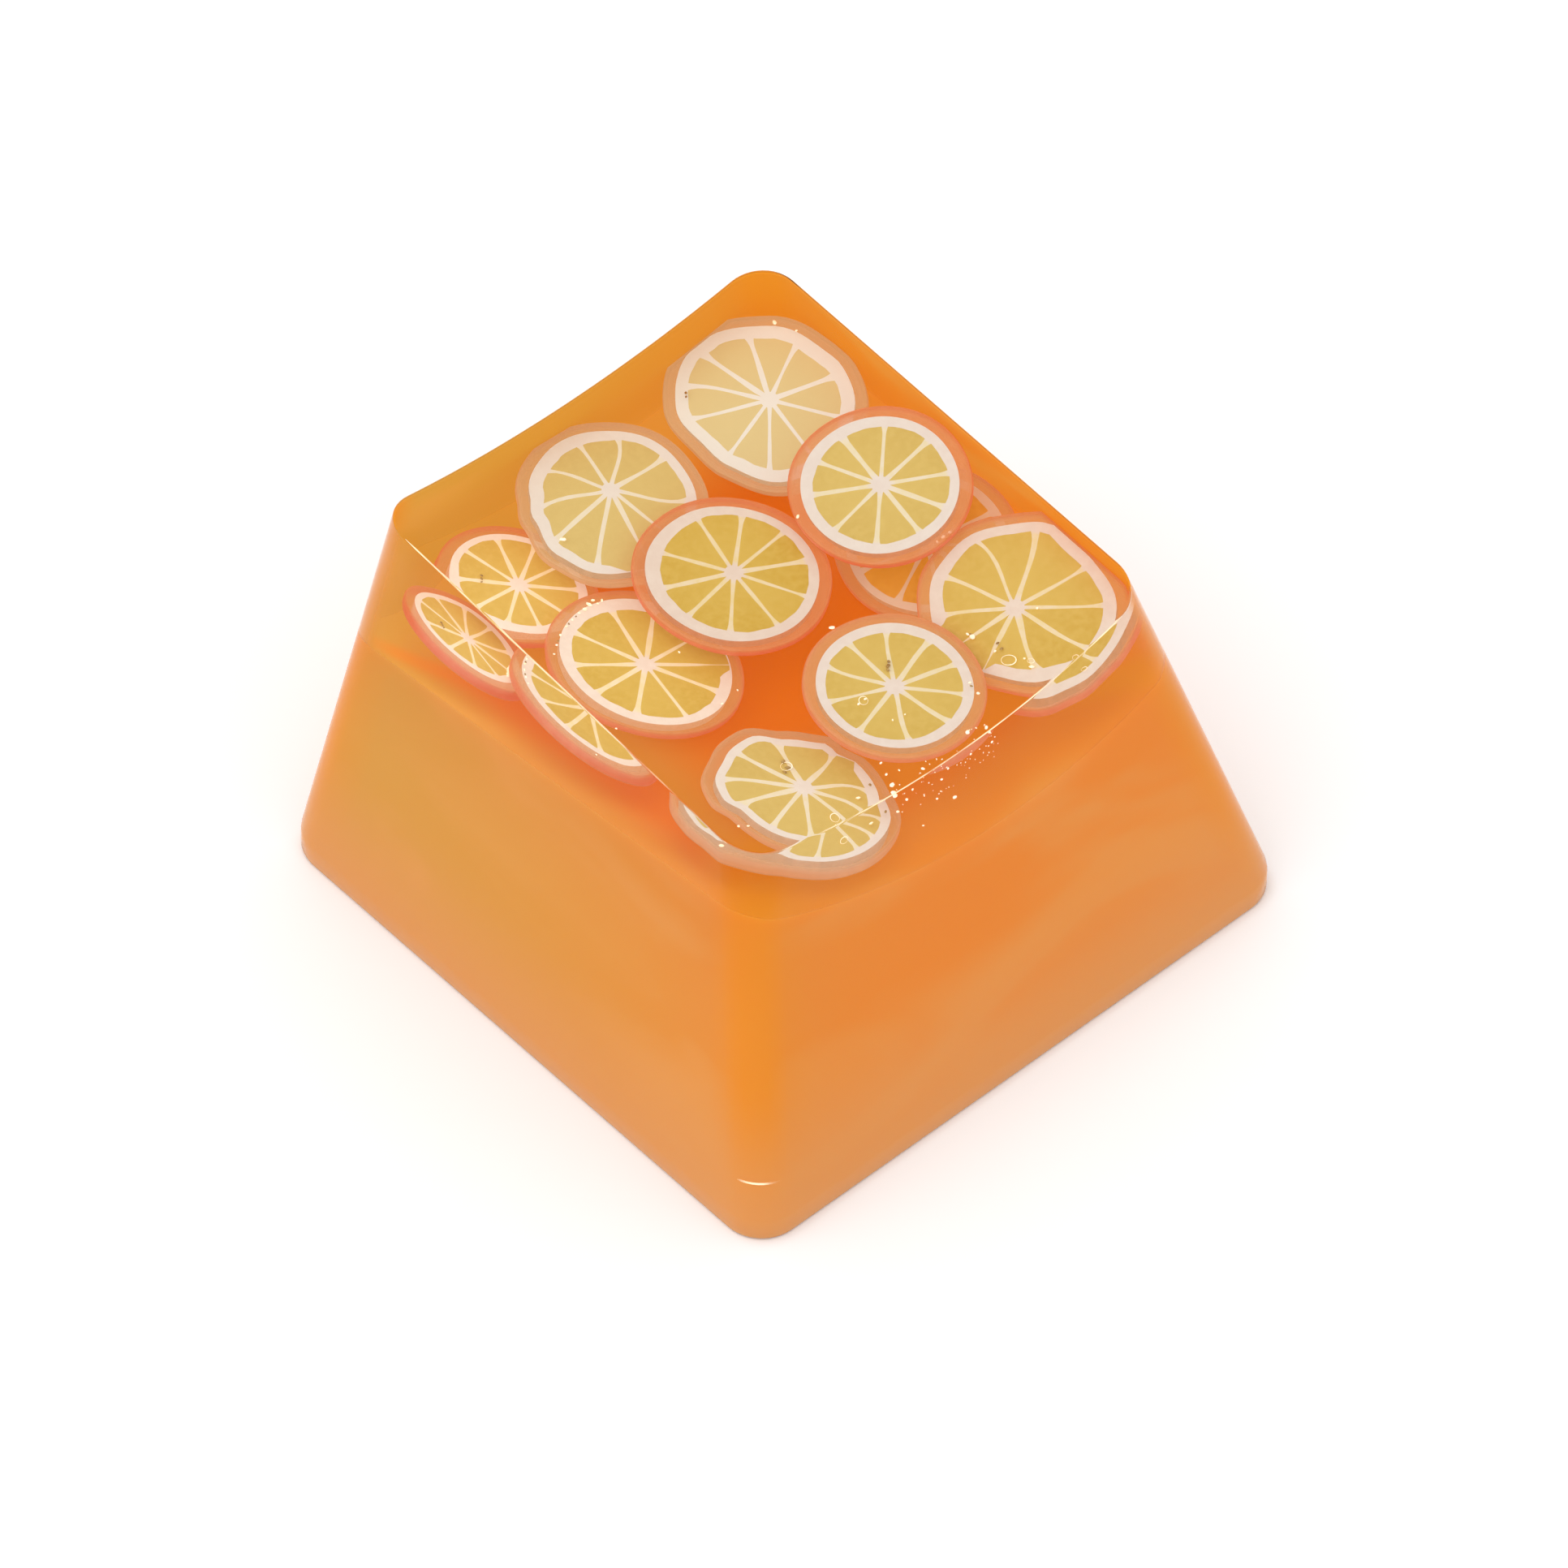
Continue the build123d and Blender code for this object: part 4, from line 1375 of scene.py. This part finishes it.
class KEYCAP_OT_stage(bpy.types.Operator):
    """Sets the floor, the soft light and the camera"""

    bl_idname = "keycap.stage"
    bl_label = "Stage"

    # Place of the lamp and the point that it is turned to
    LAMP_PLACE = Vector((-0.10, 0.02, 0.30))
    LAMP_TARGET = Vector((0, 0, 0.005))
    SENSOR_WIDTH = 36.0
    CLIP_START = 0.01

    def execute(self, context):
        scene = context.scene
        look = scene.keycap_stage
        scene.view_settings.view_transform = "Standard"
        self.floor(scene, look)
        self.world(scene, look)
        self.lamp(scene, look)
        self.camera(scene, look)
        return {"FINISHED"}

    def floor(self, scene, look):
        size = look.floor_size
        mesh = bpy.data.meshes.new("floor")
        mesh.from_pydata([(-size, -size, 0), (size, -size, 0), (size, size, 0), (-size, size, 0)], [], [(0, 1, 2, 3)])
        mesh.materials.append(material_of(floor_paper, look))
        floor = bpy.data.objects.new("floor", mesh)
        scene.collection.objects.link(floor)

    def world(self, scene, look):
        world = bpy.data.worlds.new("studio")
        world.use_nodes = True
        scene.world = world
        tree = world.node_tree
        light = fill(tree, tree.nodes["Background"], Color=WHITE, Strength=look.world_light)
        seen = add_node(tree, "ShaderNodeBackground", Color=WHITE, Strength=1.0)
        path = tree.nodes.new("ShaderNodeLightPath").outputs
        direct = maths(tree, "MAXIMUM", path["Is Camera Ray"], path["Is Transmission Ray"])
        fill(tree, tree.nodes["World Output"], Surface=mix_shaders(tree, direct, light, seen))

    def lamp(self, scene, look):
        data = bpy.data.lights.new("key_lamp", "AREA")
        data.shape = "DISK"
        data.size = look.key_size
        data.energy = look.key_light
        lamp = bpy.data.objects.new("key_lamp", data)
        scene.collection.objects.link(lamp)
        lamp.location = self.LAMP_PLACE
        lamp.rotation_euler = (self.LAMP_TARGET - self.LAMP_PLACE).to_track_quat("-Z", "Y").to_euler()

    def camera(self, scene, look):
        a, e, r = look.azimuth, look.elevation, look.roll
        back = Vector((math.sin(a) * math.cos(e), -math.cos(a) * math.cos(e), math.sin(e)))
        level = Vector((0, 0, 1)).cross(back).normalized()
        upright = back.cross(level)
        right = level * math.cos(r) + upright * math.sin(r)
        up = upright * math.cos(r) - level * math.sin(r)
        aim = Vector((0, 0, look.aim_height)) + right * look.aim_across + up * look.aim_up
        data = bpy.data.cameras.new("camera")
        data.lens = look.lens
        data.sensor_width = self.SENSOR_WIDTH
        data.clip_start = self.CLIP_START
        camera = bpy.data.objects.new("camera", data)
        scene.collection.objects.link(camera)
        turned = Matrix((right, up, back)).transposed().to_4x4()
        camera.matrix_world = Matrix.Translation(aim + back * look.distance) @ turned
        scene.camera = camera


class KEYCAP_PT_sidebar(bpy.types.Panel):
    """Lists the cap's pieces and sizes"""

    bl_idname = "KEYCAP_PT_sidebar"
    bl_label = "Citrus Slice Keycap"
    bl_space_type = "VIEW_3D"
    bl_region_type = "UI"
    bl_category = "Keycap"

    def draw(self, context):
        for operator in OPERATORS:
            self.layout.operator(operator.bl_idname)
        for name in GROUPS:
            settings = getattr(context.scene, name)
            box = self.layout.box()
            for key in settings.bl_rna.properties.keys():
                if key not in {"rna_type", "name"}:
                    box.prop(settings, key)


OPERATORS = (
    KEYCAP_OT_milky_body,
    KEYCAP_OT_clear_top,
    KEYCAP_OT_milky_veil,
    KEYCAP_OT_edge_shine,
    KEYCAP_OT_citrus_slices,
    KEYCAP_OT_inclusions,
    KEYCAP_OT_stage,
)
GROUPS = {
    "keycap_form": KeycapForm,
    "keycap_bed": SliceBed,
    "keycap_resin": ResinLook,
    "keycap_clay": ClayLook,
    "keycap_stage": StageLook,
}


def register():
    for name, group in GROUPS.items():
        bpy.utils.register_class(group)
        setattr(bpy.types.Scene, name, bpy.props.PointerProperty(type=group))
    for made in (*OPERATORS, KEYCAP_PT_sidebar):
        bpy.utils.register_class(made)


def unregister():
    for made in reversed((*OPERATORS, KEYCAP_PT_sidebar)):
        bpy.utils.unregister_class(made)
    for name, group in GROUPS.items():
        delattr(bpy.types.Scene, name)
        bpy.utils.unregister_class(group)


def main():
    register()
    bpy.ops.keycap.milky_body()
    bpy.ops.keycap.clear_top()
    bpy.ops.keycap.milky_veil()
    bpy.ops.keycap.edge_shine()
    bpy.ops.keycap.citrus_slices()
    bpy.ops.keycap.inclusions()
    bpy.ops.keycap.stage()


if __name__ == "__main__":
    main()
